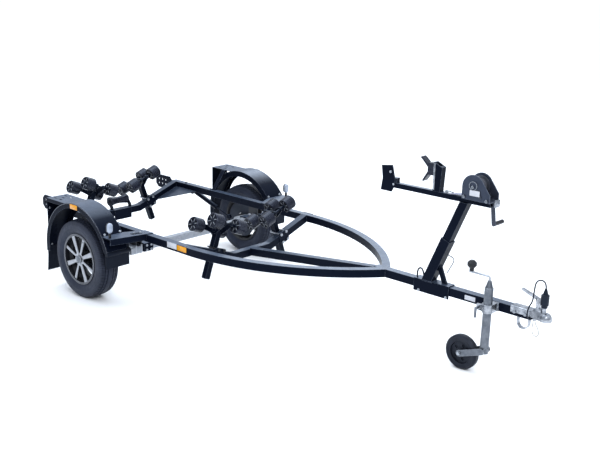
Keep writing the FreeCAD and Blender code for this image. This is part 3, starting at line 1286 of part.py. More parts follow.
def jockey_crank():
    """The bent rod on the cap."""
    r, bend = JOCKEY_CRANK_R, JOCKEY_CRANK_BEND
    low = jockey_axis(JOCKEY_TUBE_TOP_Z + JOCKEY_CAP_H)
    corner = low + Z * (JOCKEY_CRANK_RISE + bend)
    tip = corner - X * JOCKEY_CRANK
    turn = corner - X * bend - Z * bend
    middle = turn + V(math.cos(math.pi / 4), 0, math.sin(math.pi / 4)) * bend
    edges = [Part.LineSegment(low, corner - Z * bend), Part.Arc(corner - Z * bend, middle, corner - X * bend),
             Part.LineSegment(corner - X * bend, tip)]
    path = Part.Wire([edge.toShape() for edge in edges])
    profile = Part.Wire(Part.makeCircle(r, low, Z))
    return path.makePipeShell([profile], True, False)


def jockey_knob():
    """The funnel-shaped knob on the crank's end."""
    cap_z = JOCKEY_TUBE_TOP_Z + JOCKEY_CAP_H
    top = jockey_axis(cap_z + JOCKEY_CRANK_RISE + JOCKEY_CRANK_BEND + JOCKEY_CRANK_R)
    foot = top - X * (JOCKEY_CRANK - JOCKEY_KNOB_STEM_R)
    h, stem, wide = JOCKEY_KNOB_H, JOCKEY_KNOB_STEM_R, JOCKEY_KNOB_R
    outline = [(0, 0), (stem, 0), (stem, h / 4), (wide, h / 2), (wide, h - stem), (wide - stem, h), (0, h)]
    return ring([foot + V(r, 0, z) for r, z in outline], foot, Z)


def jockey_clamp():
    """The split clamp that holds the tube, its ears and its plate on the drawbar's right side."""
    z0, z1 = JOCKEY_CLAMP_LOW_Z, JOCKEY_CLAMP_LOW_Z + JOCKEY_CLAMP_H
    outer_r = JOCKEY_TUBE_R + JOCKEY_CLAMP_WALL
    collar = rod(jockey_axis(z0), jockey_axis(z1), outer_r)
    neck = box(JOCKEY_X - outer_r, JOCKEY_X + outer_r, JOCKEY_Y, -BAR / 2, z0, z1)
    half = JOCKEY_PLATE_L / 2
    pad = box(JOCKEY_X - half, JOCKEY_X + half, -BAR / 2 - JOCKEY_PLATE_T, -BAR / 2, z0, z1)
    ear_y = JOCKEY_Y - outer_r + JOCKEY_EAR_T / 2
    ears = box(JOCKEY_X - outer_r - JOCKEY_EAR, JOCKEY_X, ear_y, ear_y + JOCKEY_EAR_T, z0 + JOCKEY_EAR_T / 2,
               z1 - JOCKEY_EAR_T / 2)
    bore = rod(jockey_axis(z0 - CUT), jockey_axis(z1 + CUT), JOCKEY_TUBE_R)
    return join([collar, neck, pad, ears]).cut(bore)


def jockey_handle():
    """The clamp's tommy bar."""
    outer_r = JOCKEY_TUBE_R + JOCKEY_CLAMP_WALL
    z = JOCKEY_CLAMP_LOW_Z + JOCKEY_CLAMP_H / 2
    start = V(JOCKEY_X - outer_r - JOCKEY_EAR / 2, JOCKEY_Y - outer_r + JOCKEY_EAR_T / 2 - SEAT, z)
    low = start - Y * (JOCKEY_EAR_T * 2)
    screw = rod(start, low, JOCKEY_HANDLE_R)
    grip = rod(low + Z * JOCKEY_HANDLE_R, low - Z * JOCKEY_HANDLE_LONG, JOCKEY_HANDLE_R)
    return join([screw, grip])


def jockey_leg():
    """The inner tube that the crank drives up and down."""
    radius = JOCKEY_TUBE_R - JOCKEY_WALL - JOCKEY_LEG_FIT
    low_z = JOCKEY_TUBE_LOW_Z - JOCKEY_NECK
    low = jockey_axis(low_z)
    outer = rod(low, low + Z * JOCKEY_LEG_LONG, radius)
    return outer.cut(rod(low + Z * JOCKEY_WALL, low + Z * (JOCKEY_LEG_LONG + CUT), radius - JOCKEY_WALL))


def jockey_fork():
    """The swivel head and the two arms that trail the wheel."""
    head_top = JOCKEY_TUBE_LOW_Z - JOCKEY_NECK - SEAT
    head = rod(jockey_axis(head_top - JOCKEY_HEAD_H), jockey_axis(head_top), JOCKEY_TUBE_R)
    start = jockey_axis(head_top - JOCKEY_HEAD_H / 2)
    centre = jockey_centre()
    parts = [head]
    gap = JOCKEY_W / 2 + JOCKEY_FORK_GAP + JOCKEY_FORK_T / 2
    for side in (-1, 1):
        shift = Y * (side * gap)
        parts.append(link(start + shift, JOCKEY_FORK_H / 2, centre + shift, JOCKEY_FORK_H / 2, Y, JOCKEY_FORK_T))
    reach = gap + JOCKEY_FORK_T
    yoke = box(JOCKEY_X - JOCKEY_TUBE_R / 2, JOCKEY_X + JOCKEY_TUBE_R / 2, JOCKEY_Y - gap, JOCKEY_Y + gap,
               head_top - JOCKEY_HEAD_H, head_top)
    axle = rod(centre - Y * reach, centre + Y * reach, JOCKEY_AXLE_R)
    return join(parts + [yoke, axle])


def jockey_wheel():
    """A solid tyre on a dished hub with round holes in its web."""
    half = JOCKEY_W / 2
    centre = jockey_centre()
    hub_r, bore, boss = JOCKEY_HUB_R, JOCKEY_AXLE_R + RUN_FIT, JOCKEY_BOSS_R
    edge = JOCKEY_EDGE
    one_side = [(bore, half), (boss, half), (boss, half / 3), (hub_r, half / 3),
                (hub_r + JOCKEY_RIM_T, half - edge / 3),
                (hub_r + 2 * JOCKEY_RIM_T, half - edge / 3), (JOCKEY_R - edge, half), (JOCKEY_R, half - edge)]
    outline = one_side + [(r, -y) for r, y in reversed(one_side)]
    wheel = ring([V(0, y, r) for r, y in outline], V(0, 0, 0), Y)
    pitch_r = (hub_r + boss) / 2
    for count in range(JOCKEY_HOLES):
        turn = 2 * math.pi * count / JOCKEY_HOLES
        place = V(pitch_r * math.cos(turn), 0, pitch_r * math.sin(turn))
        for side in (-1, 1):
            web = place + Y * (side * JOCKEY_WEB_T / 2)
            wheel = wheel.cut(rod(web, place + Y * (side * half), JOCKEY_HOLE_R))
    return wheel.translated(centre)


# Assembly

NODES = {}


def add(name, *shapes):
    """A node of one solid, or of like solids that don't touch."""
    NODES[name] = shapes[0] if len(shapes) == 1 else Part.makeCompound(list(shapes))


def add_both(name, *shapes):
    """One node for the left and right pieces together."""
    add(name, *shapes, *[mirrored(shape) for shape in shapes])


def add_sides(name, shape):
    """A node for the left piece and one for the right."""
    add(name + "_left", shape)
    add(name + "_right", mirrored(shape))


add("drawbar", drawbar())
add_sides("rail", rail())
add("keel_beam", keel())
add("cross_member_front", cross_member(CROSS_FRONT_X))
add("cross_member_rear", join([cross_member(CROSS_REAR_X), gusset(), mirrored(gusset())]))
add_both("rail_end_plates", end_plate())
add("axle_tube", axle_tube())
add_both("axle_mounts", *axle_mount(), damper_lug())
add_both("axle_arms", axle_arm())
add_both("dampers", damper())
add_sides("mudguard", mudguard())
add_both("mud_flaps", *mud_flaps())
add_both("outriggers", *outrigger())
add_both("marker_lamps", marker_lamp())
add_both("side_reflectors", *side_reflectors())
add_sides("tyre", tyre(WHEEL_Y, WHEEL_R, TYRE_W, TREAD_W, BEAD_R, RIM_R, SIDEWALL_R))
add_sides("rim", rim(WHEEL_Y))
add("keel_roller_bracket", *keel_bracket())
add("keel_roller", keel_roller())
for cradle in CRADLES:
    add_sides("rocker_" + cradle, rocker_place(rocker(), cradle))
    add_sides("rollers_" + cradle + "_fore", rocker_place(roller_pair(1), cradle))
    add_sides("rollers_" + cradle + "_aft", rocker_place(roller_pair(-1), cradle))
add_both("cradle_posts", *[cradle_post(cradle) for cradle in CRADLES])
add_both("clamp_plates", *[clamp_plate(cradle) for cradle in CRADLES])
add_both("post_bolts", *[bolt for cradle in CRADLES for bolt in square_bolts(cradle, CLAMP_BOLT_R)])
add("post_base", join([post_base(), post_strut()]))
add("mast", mast())
add("stop_plates", join([bow_stop(), stop_block()]), catch())
add("catch_fork", catch_fork())
add("winch_frame", winch_frame())
add("winch_drum", winch_drum())
add("winch_crank", winch_crank())
add("coupling", coupling())
add("coupling_lever", coupling_lever())
add("chain_loop", chain_loop())
add("plug", plug())
add("plug_cable", cord(plug_cable_points(), CABLE_R, "plug_cable"))
add("safety_cable", cord(safety_cable_points(), SAFETY_R, "safety_cable"))
add("jockey_tube", jockey_tube())
add("jockey_crank", join([jockey_crank(), jockey_knob()]))
add("jockey_clamp", jockey_clamp())
add("jockey_handle", jockey_handle())
add("jockey_leg", jockey_leg())
add("jockey_fork", jockey_fork())
add("jockey_wheel", jockey_wheel())


def parked():
    """Leans the level frame about the wheels' axis onto the jockey wheel."""
    return FreeCAD.Placement(V(0, 0, 0), FreeCAD.Rotation(Y, math.degrees(PARK)), V(0, 0, WHEEL_R))


def place_all():
    """Parks every node, centres the whole along x and returns the placement used."""
    lean = parked()
    for shape in NODES.values():
        shape.Placement = lean.multiply(shape.Placement)
    reach = Part.makeCompound(list(NODES.values())).BoundBox
    shift = FreeCAD.Placement(V(-(reach.XMin + reach.XMax) / 2, 0, 0), FreeCAD.Rotation())
    for shape in NODES.values():
        shape.Placement = shift.multiply(shape.Placement)
    return shift.multiply(lean)


WORLD = place_all()
for name, shape in NODES.items():
    shape.exportStep("parts/" + name + ".step")
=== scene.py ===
import bpy, bmesh, json, math
from mathutils import Matrix, Vector


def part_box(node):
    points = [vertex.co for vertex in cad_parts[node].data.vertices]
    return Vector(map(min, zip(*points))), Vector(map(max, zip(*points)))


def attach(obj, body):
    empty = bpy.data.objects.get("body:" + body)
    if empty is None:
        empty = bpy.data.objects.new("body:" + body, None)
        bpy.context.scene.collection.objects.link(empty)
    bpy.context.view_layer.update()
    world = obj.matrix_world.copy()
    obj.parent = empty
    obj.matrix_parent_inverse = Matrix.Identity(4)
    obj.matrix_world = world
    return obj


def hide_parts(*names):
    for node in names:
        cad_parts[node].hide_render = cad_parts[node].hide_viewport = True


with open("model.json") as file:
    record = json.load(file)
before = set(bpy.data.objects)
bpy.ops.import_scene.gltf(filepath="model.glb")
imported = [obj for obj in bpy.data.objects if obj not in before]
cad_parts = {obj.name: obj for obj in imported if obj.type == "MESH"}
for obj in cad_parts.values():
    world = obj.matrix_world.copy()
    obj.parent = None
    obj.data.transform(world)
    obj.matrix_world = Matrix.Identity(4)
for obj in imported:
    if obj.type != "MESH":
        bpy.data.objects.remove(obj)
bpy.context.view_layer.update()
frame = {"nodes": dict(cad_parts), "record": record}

NODES = frame["nodes"]
MM = 0.001

# The trailer is described level, in millimetres, forward of its wheels' axis and above the ground under them, and
# leans nose down about that axis as it is parked. A size or place with a name from the construction has its value.
WHEEL_R, WHEEL_Y = 275.0, 768.0
PARK_SLOPE = 0.03
NOSE_DOWN = math.atan(PARK_SLOPE)
TYRE_LOW, TYRE_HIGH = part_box("tyre_left")
WHEEL_X = (TYRE_LOW[0] + TYRE_HIGH[0]) / 2

BAR, WALL, BAR_BOTTOM, BAR_FRONT_X = 50.0, 3.0, 450.0, 2955.0
BAR_MID = BAR_BOTTOM + BAR / 2
RAIL_Y = 575.0
RAIL_IN_Y = RAIL_Y - BAR / 2
AXLE_X, AXLE_Z = 285.0, 364.0
CHEEK_Y = 53.0


def way(x, y, z):
    """A direction of the level frame as the parked trailer has it."""
    ahead, rise = math.cos(NOSE_DOWN), math.sin(NOSE_DOWN)
    return Vector((x * ahead + z * rise, y, z * ahead - x * rise))


def at(x, y, z):
    """A point of the level frame, in metres on the parked trailer."""
    return way(x, y, z - WHEEL_R) * MM + Vector((WHEEL_X, 0, WHEEL_R * MM))


def word_of(side):
    return "left" if side > 0 else "right"


FORWARD, LEFT, UP = way(1, 0, 0), way(0, 1, 0), way(0, 0, 1)


# Camera and light

CAMERA_LENS, CAMERA_DOWN_DEG, CAMERA_TURN_DEG = 53.452, 14.51694, 42.5631776
EYE_AHEAD, EYE_LEFT, EYE_HIGH = 5.05786692, -4.10863156, 2.03079333


def camera():
    """The photo's own view."""
    data = bpy.data.cameras.new("camera")
    data.sensor_width, data.sensor_fit, data.lens, data.clip_end = 36, "HORIZONTAL", CAMERA_LENS, 2000
    eye = bpy.data.objects.new("camera", data)
    eye.location = (WHEEL_X + EYE_AHEAD, EYE_LEFT, EYE_HIGH)
    eye.rotation_euler = (math.radians(90 - CAMERA_DOWN_DEG), 0, math.radians(CAMERA_TURN_DEG))
    bpy.context.collection.objects.link(eye)
    bpy.context.scene.camera = eye


def light(name, place, target, size, power, tint=(1, 1, 1)):
    """A round soft light that looks at its target."""
    data = bpy.data.lights.new(name, "AREA")
    data.shape, data.size, data.energy, data.color = "DISK", size, power, tint
    lamp = bpy.data.objects.new(name, data)
    lamp.location = place
    lamp.rotation_euler = (Vector(target) - Vector(place)).to_track_quat("-Z", "Y").to_euler()
    bpy.context.collection.objects.link(lamp)


camera()
light("sky", (-1.5, 0.5, 6.0), (-0.3, 0, 0), 5.0, 300, (0.84, 0.92, 1.0))
light("key", (5.0, -4.0, 5.0), (0.3, 0, 0.4), 2.2, 210)
light("back", (-4.0, 5.5, 4.5), (0, 0, 0.4), 4.0, 90, (0.86, 0.93, 1.0))
bpy.context.scene.view_settings.view_transform = "Standard"


# Material kit: most of these add nodes to a material's tree and return the output to use

def tree_of(name):
    """A new material, its empty tree and its shader."""
    stuff = bpy.data.materials.new(name)
    stuff.use_nodes = True
    tree = stuff.node_tree
    tree.nodes.clear()
    shader = tree.nodes.new("ShaderNodeBsdfPrincipled")
    out = tree.nodes.new("ShaderNodeOutputMaterial")
    tree.links.new(shader.outputs[0], out.inputs[0])
    return stuff, tree, shader


def give(tree, target, value):
    """Sets an input, or links it when the value is another node's output; None leaves it alone."""
    if isinstance(value, bpy.types.NodeSocket):
        tree.links.new(value, target)
    elif value is not None:
        target.default_value = value


def put(tree, kind, inputs, **settings):
    """A node of a kind with its settings and inputs."""
    node = tree.nodes.new("ShaderNode" + kind)
    for key, value in settings.items():
        setattr(node, key, value)
    for key, value in inputs.items():
        give(tree, node.inputs[key], value)
    return node


def place_of(tree):
    """The point being shaded, in its object's own metres."""
    return put(tree, "TexCoord", {}).outputs["Object"]


def noise(tree, scale, detail=3.0, rough=0.5):
    """Soft noise about one half, with scale lumps to the metre."""
    inputs = {"Vector": place_of(tree), "Scale": scale, "Detail": detail, "Roughness": rough}
    return put(tree, "TexNoise", inputs).outputs["Fac"]


def cells(tree, scale, feature="F1", output="Distance"):
    """Cells, with scale of them to the metre."""
    return put(tree, "TexVoronoi", {"Vector": place_of(tree), "Scale": scale}, feature=feature).outputs[output]


def span(tree, value, low, high, to_low, to_high):
    """Maps a value's span from low to high onto another, and clamps it there."""
    inputs = {0: value, 1: low, 2: high, 3: to_low, 4: to_high}
    return put(tree, "MapRange", inputs).outputs[0]


def blend(tree, factor, first, second):
    """The first colour at a factor of zero, the second at one."""
    node = tree.nodes.new("ShaderNodeMix")
    node.data_type = "RGBA"
    give(tree, node.inputs[0], factor)
    give(tree, node.inputs[6], first)
    give(tree, node.inputs[7], second)
    return node.outputs[2]


def math_of(tree, operation, first, second=None):
    return put(tree, "Math", {0: first, 1: second}, operation=operation).outputs[0]


def vector_of(tree, operation, first, second=None, output="Vector"):
    return put(tree, "VectorMath", {0: first, 1: second}, operation=operation).outputs[output]


def raised(tree, height, strength, distance, normal):
    """A normal bumped by a height; distance is in metres."""
    inputs = {"Height": height, "Strength": strength, "Distance": distance, "Normal": normal}
    return put(tree, "Bump", inputs).outputs[0]


def rounded(tree, radius):
    """A normal that softens sharp edges over this radius, in metres."""
    return put(tree, "Bevel", {"Radius": radius}, samples=4).outputs[0]


def facing(tree, axis):
    """How far the surface faces along an axis, from -1 to 1."""
    normal = put(tree, "TexCoord", {}).outputs["Normal"]
    return put(tree, "SeparateXYZ", {0: normal}).outputs[axis]


def from_axis(tree, centre):
    """A point's place from a centre, and its distance from the y line through that centre, in metres."""
    local = vector_of(tree, "SUBTRACT", place_of(tree), centre)
    flat = vector_of(tree, "MULTIPLY", local, (1, 0, 1))
    return local, vector_of(tree, "LENGTH", flat, output="Value")


def level(tree, direction):
    """How far a point lies along a direction of the level frame, in millimetres."""
    local = vector_of(tree, "SUBTRACT", place_of(tree), tuple(at(0, 0, 0)))
    reach = vector_of(tree, "DOT_PRODUCT", local, tuple(direction), output="Value")
    return math_of(tree, "MULTIPLY", reach, 1 / MM)


def above(tree, value, limit):
    return math_of(tree, "GREATER_THAN", value, limit)


def below(tree, value, limit):
    return math_of(tree, "LESS_THAN", value, limit)


def both_of(tree, first, second):
    return math_of(tree, "MULTIPLY", first, second)


def edges(tree, radius, most):
    """The value most along sharp edges and zero on flat faces; radius is in metres."""
    plain = put(tree, "NewGeometry", {}).outputs["Normal"]
    same = vector_of(tree, "DOT_PRODUCT", rounded(tree, radius), plain, output="Value")
    return span(tree, same, 0.995, 0.93, 0.0, most)


def colour(r, g, b):
    return (r, g, b, 1)


# Materials

def black_coat():
    """Satin black powder coat: a fine orange peel, a painted blue-grey sky reflection on its top faces, and paler
    edges painted as edge highlights and wear.
    """
    stuff, tree, shader = tree_of("black_coat")
    up = facing(tree, "Z")
    base = blend(tree, noise(tree, 5.0), colour(0.0016, 0.0026, 0.0066), colour(0.0035, 0.0053, 0.0120))
    # Painted reflection: upward faces are blended, in mottled patches, towards a blue-grey sky sheen.
    painted_top_sheen = both_of(tree, span(tree, up, 0.90, 1.0, 0.0, 0.62), noise(tree, 22.0, 6.0, 0.6))
    with_painted_top_sheen = blend(tree, painted_top_sheen, base, colour(0.10, 0.135, 0.20))
    # Painted edge highlight with wear: sharp edges are paled in patches.
    painted_sheen_and_wear = both_of(tree, edges(tree, 0.0034, 0.85), span(tree, noise(tree, 60.0, 4.0), 0.35, 0.60, 0.35, 1.0))
    give(tree, shader.inputs["Base Color"], blend(tree, painted_sheen_and_wear, with_painted_top_sheen, colour(0.10, 0.12, 0.155)))
    give(tree, shader.inputs["Roughness"], span(tree, noise(tree, 26.0, 5.0), 0.3, 0.7, 0.26, 0.38))
    give(tree, shader.inputs["Specular IOR Level"], span(tree, up, 0.80, 1.0, 0.05, 0.66))
    give(tree, shader.inputs["Specular Tint"], colour(0.50, 0.68, 1.0))
    give(tree, shader.inputs["Normal"], raised(tree, noise(tree, 700.0, 2.0), 0.10, 0.0004, rounded(tree, 0.0028)))
    return stuff


def winch_coat():
    """The winch's dark hammered paint, paler along its rims as a painted highlight with wear."""
    stuff, tree, shader = tree_of("winch_coat")
    base = blend(tree, noise(tree, 30.0, 5.0), colour(0.010, 0.012, 0.019), colour(0.026, 0.030, 0.044))
    # Painted highlight with wear: the rims are paled in patches.
    painted_sheen_and_wear = both_of(tree, edges(tree, 0.0035, 0.9), span(tree, noise(tree, 70.0, 4.0), 0.35, 0.60, 0.3, 1.0))
    give(tree, shader.inputs["Base Color"], blend(tree, painted_sheen_and_wear, base, colour(0.16, 0.18, 0.22)))
    give(tree, shader.inputs["Roughness"], 0.36)
    give(tree, shader.inputs["Specular Tint"], colour(0.55, 0.70, 1.0))
    hammer = cells(tree, 260.0, feature="SMOOTH_F1")
    give(tree, shader.inputs["Normal"], raised(tree, hammer, 0.25, 0.0006, rounded(tree, 0.002)))
    return stuff


def galvanised():
    """Hot dip zinc: spangles of two greys, clouded by stains."""
    stuff, tree, shader = tree_of("galvanised")
    grey = put(tree, "RGBToBW", {0: cells(tree, 75.0, output="Color")}).outputs[0]
    base = blend(tree, grey, colour(0.22, 0.24, 0.27), colour(0.34, 0.36, 0.40))
    stain = span(tree, noise(tree, 7.0, 6.0, 0.65), 0.45, 0.75, 0.0, 0.5)
    give(tree, shader.inputs["Base Color"], blend(tree, stain, base, colour(0.30, 0.31, 0.33)))
    give(tree, shader.inputs["Metallic"], 0.85)
    give(tree, shader.inputs["Roughness"], span(tree, grey, 0.0, 1.0, 0.34, 0.52))
    give(tree, shader.inputs["Normal"], raised(tree, noise(tree, 160.0, 4.0), 0.20, 0.0006, rounded(tree, 0.003)))
    return stuff


def zinc(name, dark, pale, rough):
    """Zinc plating: cloudy, and paler along its edges as a painted edge highlight."""
    stuff, tree, shader = tree_of(name)
    clouds = span(tree, noise(tree, 34.0, 6.0, 0.62), 0.38, 0.62, 0.0, 1.0)
    cloudy = blend(tree, clouds, dark, pale)
    # Painted edge highlight: sharp edges blend to a pale zinc.
    give(tree, shader.inputs["Base Color"], blend(tree, edges(tree, 0.0022, 0.8), cloudy, colour(0.46, 0.49, 0.54)))
    give(tree, shader.inputs["Metallic"], 0.90)
    give(tree, shader.inputs["Roughness"], span(tree, noise(tree, 60.0, 4.0), 0.3, 0.7, rough - 0.08, rough + 0.10))
    give(tree, shader.inputs["Normal"], raised(tree, noise(tree, 900.0, 2.0), 0.10, 0.0003, rounded(tree, 0.0012)))
    return stuff


def split(name, mask_of, first, second):
    """Two plain finishes on one piece, parted by where a point lies; each is (dark, pale, metal, rough)."""
    stuff, tree, shader = tree_of(name)
    mask, grain = mask_of(tree), noise(tree, 40.0, 5.0)
    one, two = blend(tree, grain, first[0], first[1]), blend(tree, grain, second[0], second[1])
    give(tree, shader.inputs["Base Color"], blend(tree, mask, one, two))
    give(tree, shader.inputs["Metallic"], span(tree, mask, 0.0, 1.0, first[2], second[2]))
    give(tree, shader.inputs["Roughness"], span(tree, mask, 0.0, 1.0, first[3], second[3]))
    give(tree, shader.inputs["Specular IOR Level"], 0.30)
    give(tree, shader.inputs["Normal"], raised(tree, noise(tree, 800.0, 2.0), 0.12, 0.0003, rounded(tree, 0.0015)))
    return stuff


def cast_alloy():
    """Machined faces on the outside of the spokes, dark paint in the pockets, and a darker grey lip that is painted
    shade.
    """
    face_from_y, face_to_y, lip_r = 0.822, 0.824, 0.1635
    stuff, tree, shader = tree_of("cast_alloy")
    local, radius = from_axis(tree, (WHEEL_X, 0, WHEEL_R * MM))
    y = math_of(tree, "ABSOLUTE", put(tree, "SeparateXYZ", {0: local}).outputs["Y"])
    outward = span(tree, math_of(tree, "ABSOLUTE", facing(tree, "Y")), 0.55, 0.75, 0.0, 1.0)
    face = both_of(tree, outward, span(tree, y, face_from_y, face_to_y, 0.0, 1.0))
    rings = math_of(tree, "SINE", math_of(tree, "MULTIPLY", radius, 9000.0))
    bright = blend(tree, noise(tree, 40.0, 3.0), colour(0.24, 0.25, 0.275), colour(0.38, 0.395, 0.425))
    # Painted shade: the machined lip is a darker grey.
    painted_shade_lip = blend(tree, noise(tree, 60.0, 4.0), colour(0.06, 0.064, 0.074), colour(0.11, 0.115, 0.13))
    paint = blend(tree, noise(tree, 55.0, 4.0), colour(0.006, 0.0066, 0.009), colour(0.014, 0.0155, 0.020))
    machined = blend(tree, above(tree, radius, lip_r), bright, painted_shade_lip)
    give(tree, shader.inputs["Base Color"], blend(tree, face, paint, machined))
    give(tree, shader.inputs["Specular IOR Level"], 0.3)
    give(tree, shader.inputs["Metallic"], span(tree, face, 0.0, 1.0, 0.25, 0.85))
    give(tree, shader.inputs["Roughness"], span(tree, face, 0.0, 1.0, 0.45, 0.33))
    give(tree, shader.inputs["Normal"], raised(tree, rings, 0.05, 0.0003, rounded(tree, 0.002)))
    return stuff


def rubber(name, dark, pale, rough, grain, depth, edge_highlight):
    """Moulded rubber; grain and depth are its texture's, and the last colour is painted on its sharp edges as a
    highlight.
    """
    stuff, tree, shader = tree_of(name)
    patches = span(tree, noise(tree, 14.0, 6.0, 0.6), 0.35, 0.7, 0.0, 1.0)
    patchy = blend(tree, patches, dark, pale)
    # Painted highlight: sharp edges blend to the last, paler colour.
    give(tree, shader.inputs["Base Color"], blend(tree, edges(tree, 0.0016, 0.8), patchy, edge_highlight))
    give(tree, shader.inputs["Specular IOR Level"], 0.30)
    give(tree, shader.inputs["Specular Tint"], colour(0.70, 0.80, 1.0))
    give(tree, shader.inputs["Roughness"], span(tree, noise(tree, 45.0, 4.0), 0.3, 0.7, rough - 0.07, rough + 0.07))
    give(tree, shader.inputs["Normal"], raised(tree, noise(tree, grain, 3.0), 0.25, depth, rounded(tree, 0.0012)))
    return stuff


def tyre_stuff():
    """Tyre rubber with fine cuts across the tread's shoulders, coloured near black as painted shade, and a paler
    outer sidewall that is a painted sheen with wear; places are in mm.
    """
    cuts_round = 132.0
    stuff, tree, shader = tree_of("tyre_rubber")
    patches = span(tree, noise(tree, 14.0, 6.0, 0.6), 0.35, 0.7, 0.0, 1.0)
    forward, rise = level(tree, FORWARD), math_of(tree, "SUBTRACT", level(tree, UP), WHEEL_R)
    turn = math_of(tree, "ARCTAN2", forward, rise)
    spot = put(tree, "CombineXYZ", {0: forward, 1: rise}).outputs[0]
    radius = vector_of(tree, "LENGTH", spot, output="Value")
    outward = math_of(tree, "SUBTRACT", math_of(tree, "ABSOLUTE", level(tree, LEFT)), WHEEL_Y)
    wide = math_of(tree, "ABSOLUTE", outward)
    shoulder = both_of(tree, span(tree, wide, 44.0, 47.0, 0.0, 1.0), span(tree, wide, 76.0, 79.0, 1.0, 0.0))
    outer = span(tree, radius, 236.0, 248.0, 0.0, 1.0)
    wave = math_of(tree, "SINE", math_of(tree, "MULTIPLY", turn, cuts_round))
    cuts = both_of(tree, both_of(tree, span(tree, wave, 0.72, 0.90, 0.0, 1.0), shoulder), outer)
    # Painted sheen with wear: the outer sidewall is paled towards blue-grey.
    painted_sheen_and_wear = both_of(tree, span(tree, outward, 60.0, 74.0, 0.0, 1.0), span(tree, radius, 215.0, 262.0, 0.35, 1.0))
    base = blend(tree, patches, colour(0.0080, 0.0104, 0.0190), colour(0.0155, 0.0195, 0.0340))
    base = blend(tree, both_of(tree, painted_sheen_and_wear, 0.25), base, colour(0.080, 0.087, 0.110))
    # Painted shade: the cuts are coloured near black.
    give(tree, shader.inputs["Base Color"], blend(tree, cuts, base, colour(0.002, 0.002, 0.003)))
    give(tree, shader.inputs["Specular Tint"], colour(0.72, 0.80, 1.0))
    give(tree, shader.inputs["Roughness"], span(tree, noise(tree, 45.0, 4.0), 0.3, 0.7, 0.50, 0.66))
    give(tree, shader.inputs["Specular IOR Level"], 0.28)
    height = math_of(tree, "SUBTRACT", both_of(tree, noise(tree, 500.0, 3.0), 0.15), cuts)
    give(tree, shader.inputs["Normal"], raised(tree, height, 0.8, 0.0015, rounded(tree, 0.0012)))
    return stuff


def flap_rubber():
    """Dull black rubber with a pebbled face."""
    stuff, tree, shader = tree_of("flap_rubber")
    base = blend(tree, noise(tree, 18.0, 5.0), colour(0.0026, 0.0034, 0.0062), colour(0.0060, 0.0076, 0.0125))
    give(tree, shader.inputs["Base Color"], base)
    give(tree, shader.inputs["Specular IOR Level"], 0.16)
    give(tree, shader.inputs["Specular Tint"], colour(0.50, 0.66, 1.0))
    give(tree, shader.inputs["Roughness"], 0.58)
    pebble = cells(tree, 420.0, feature="SMOOTH_F1")
    give(tree, shader.inputs["Normal"], raised(tree, pebble, 0.5, 0.0006, rounded(tree, 0.002)))
    return stuff


def lens(name, tint, deep, glow):
    """A moulded lens with a fine prism pattern behind a smooth face; glow is an emission, which on the amber
    reflectors is painted light.
    """
    stuff, tree, shader = tree_of(name)
    prism = cells(tree, 260.0)
    give(tree, shader.inputs["Base Color"], blend(tree, span(tree, prism, 0.1, 0.6, 0.0, 1.0), tint, deep))
    give(tree, shader.inputs["Roughness"], 0.16)
    give(tree, shader.inputs["Specular IOR Level"], 0.3)
    give(tree, shader.inputs["Coat Weight"], 0.25)
    give(tree, shader.inputs["Coat Roughness"], 0.05)
    give(tree, shader.inputs["Emission Color"], tint)
    give(tree, shader.inputs["Emission Strength"], glow)
    give(tree, shader.inputs["Normal"], raised(tree, prism, 0.35, 0.0008, rounded(tree, 0.0015)))
    return stuff


def plastic(name, dark, pale, rough):
    """A plain moulded or woven finish with a very fine grain."""
    stuff, tree, shader = tree_of(name)
    give(tree, shader.inputs["Base Color"], blend(tree, noise(tree, 60.0, 4.0), dark, pale))
    give(tree, shader.inputs["Roughness"], span(tree, noise(tree, 120.0, 3.0), 0.3, 0.7, rough - 0.06, rough + 0.06))
    give(tree, shader.inputs["Specular IOR Level"], 0.30)
    give(tree, shader.inputs["Specular Tint"], colour(0.55, 0.70, 1.0))
    give(tree, shader.inputs["Normal"], raised(tree, noise(tree, 1500.0, 2.0), 0.2, 0.0002, rounded(tree, 0.0012)))
    return stuff


def drum_stuff():
    """Zinc plated flanges and the grey webbing wound between them, both darker than the same metal and webbing
    elsewhere, as painted shade between the winch's cheeks.
    """
    strap_low_r, strap_high_r = 0.0365, 0.0386
    stuff, tree, shader = tree_of("drum_and_strap_painted_shade")
    low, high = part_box("winch_drum")
    local, radius = from_axis(tree, ((low[0] + high[0]) / 2, 0, (low[2] + high[2]) / 2))
    inside = both_of(tree, below(tree, radius, strap_high_r), above(tree, radius, strap_low_r))
    across = put(tree, "SeparateXYZ", {0: local}).outputs["Y"]
    ribs = math_of(tree, "SINE", math_of(tree, "MULTIPLY", across, 2600.0))
    # Painted shade: the webbing and flanges are darkened between the cheeks.
    painted_shade_web = blend(tree, span(tree, ribs, -1.0, 1.0, 0.0, 1.0), colour(0.022, 0.024, 0.032), colour(0.055, 0.058, 0.072))
    painted_shade_steel = blend(tree, noise(tree, 40.0, 4.0), colour(0.10, 0.108, 0.13), colour(0.20, 0.212, 0.245))
    give(tree, shader.inputs["Base Color"], blend(tree, inside, painted_shade_steel, painted_shade_web))
    give(tree, shader.inputs["Metallic"], span(tree, inside, 0.0, 1.0, 0.9, 0.0))
    give(tree, shader.inputs["Roughness"], span(tree, inside, 0.0, 1.0, 0.3, 0.8))
    give(tree, shader.inputs["Normal"], raised(tree, ribs, 0.2, 0.0004, rounded(tree, 0.001)))
    return stuff


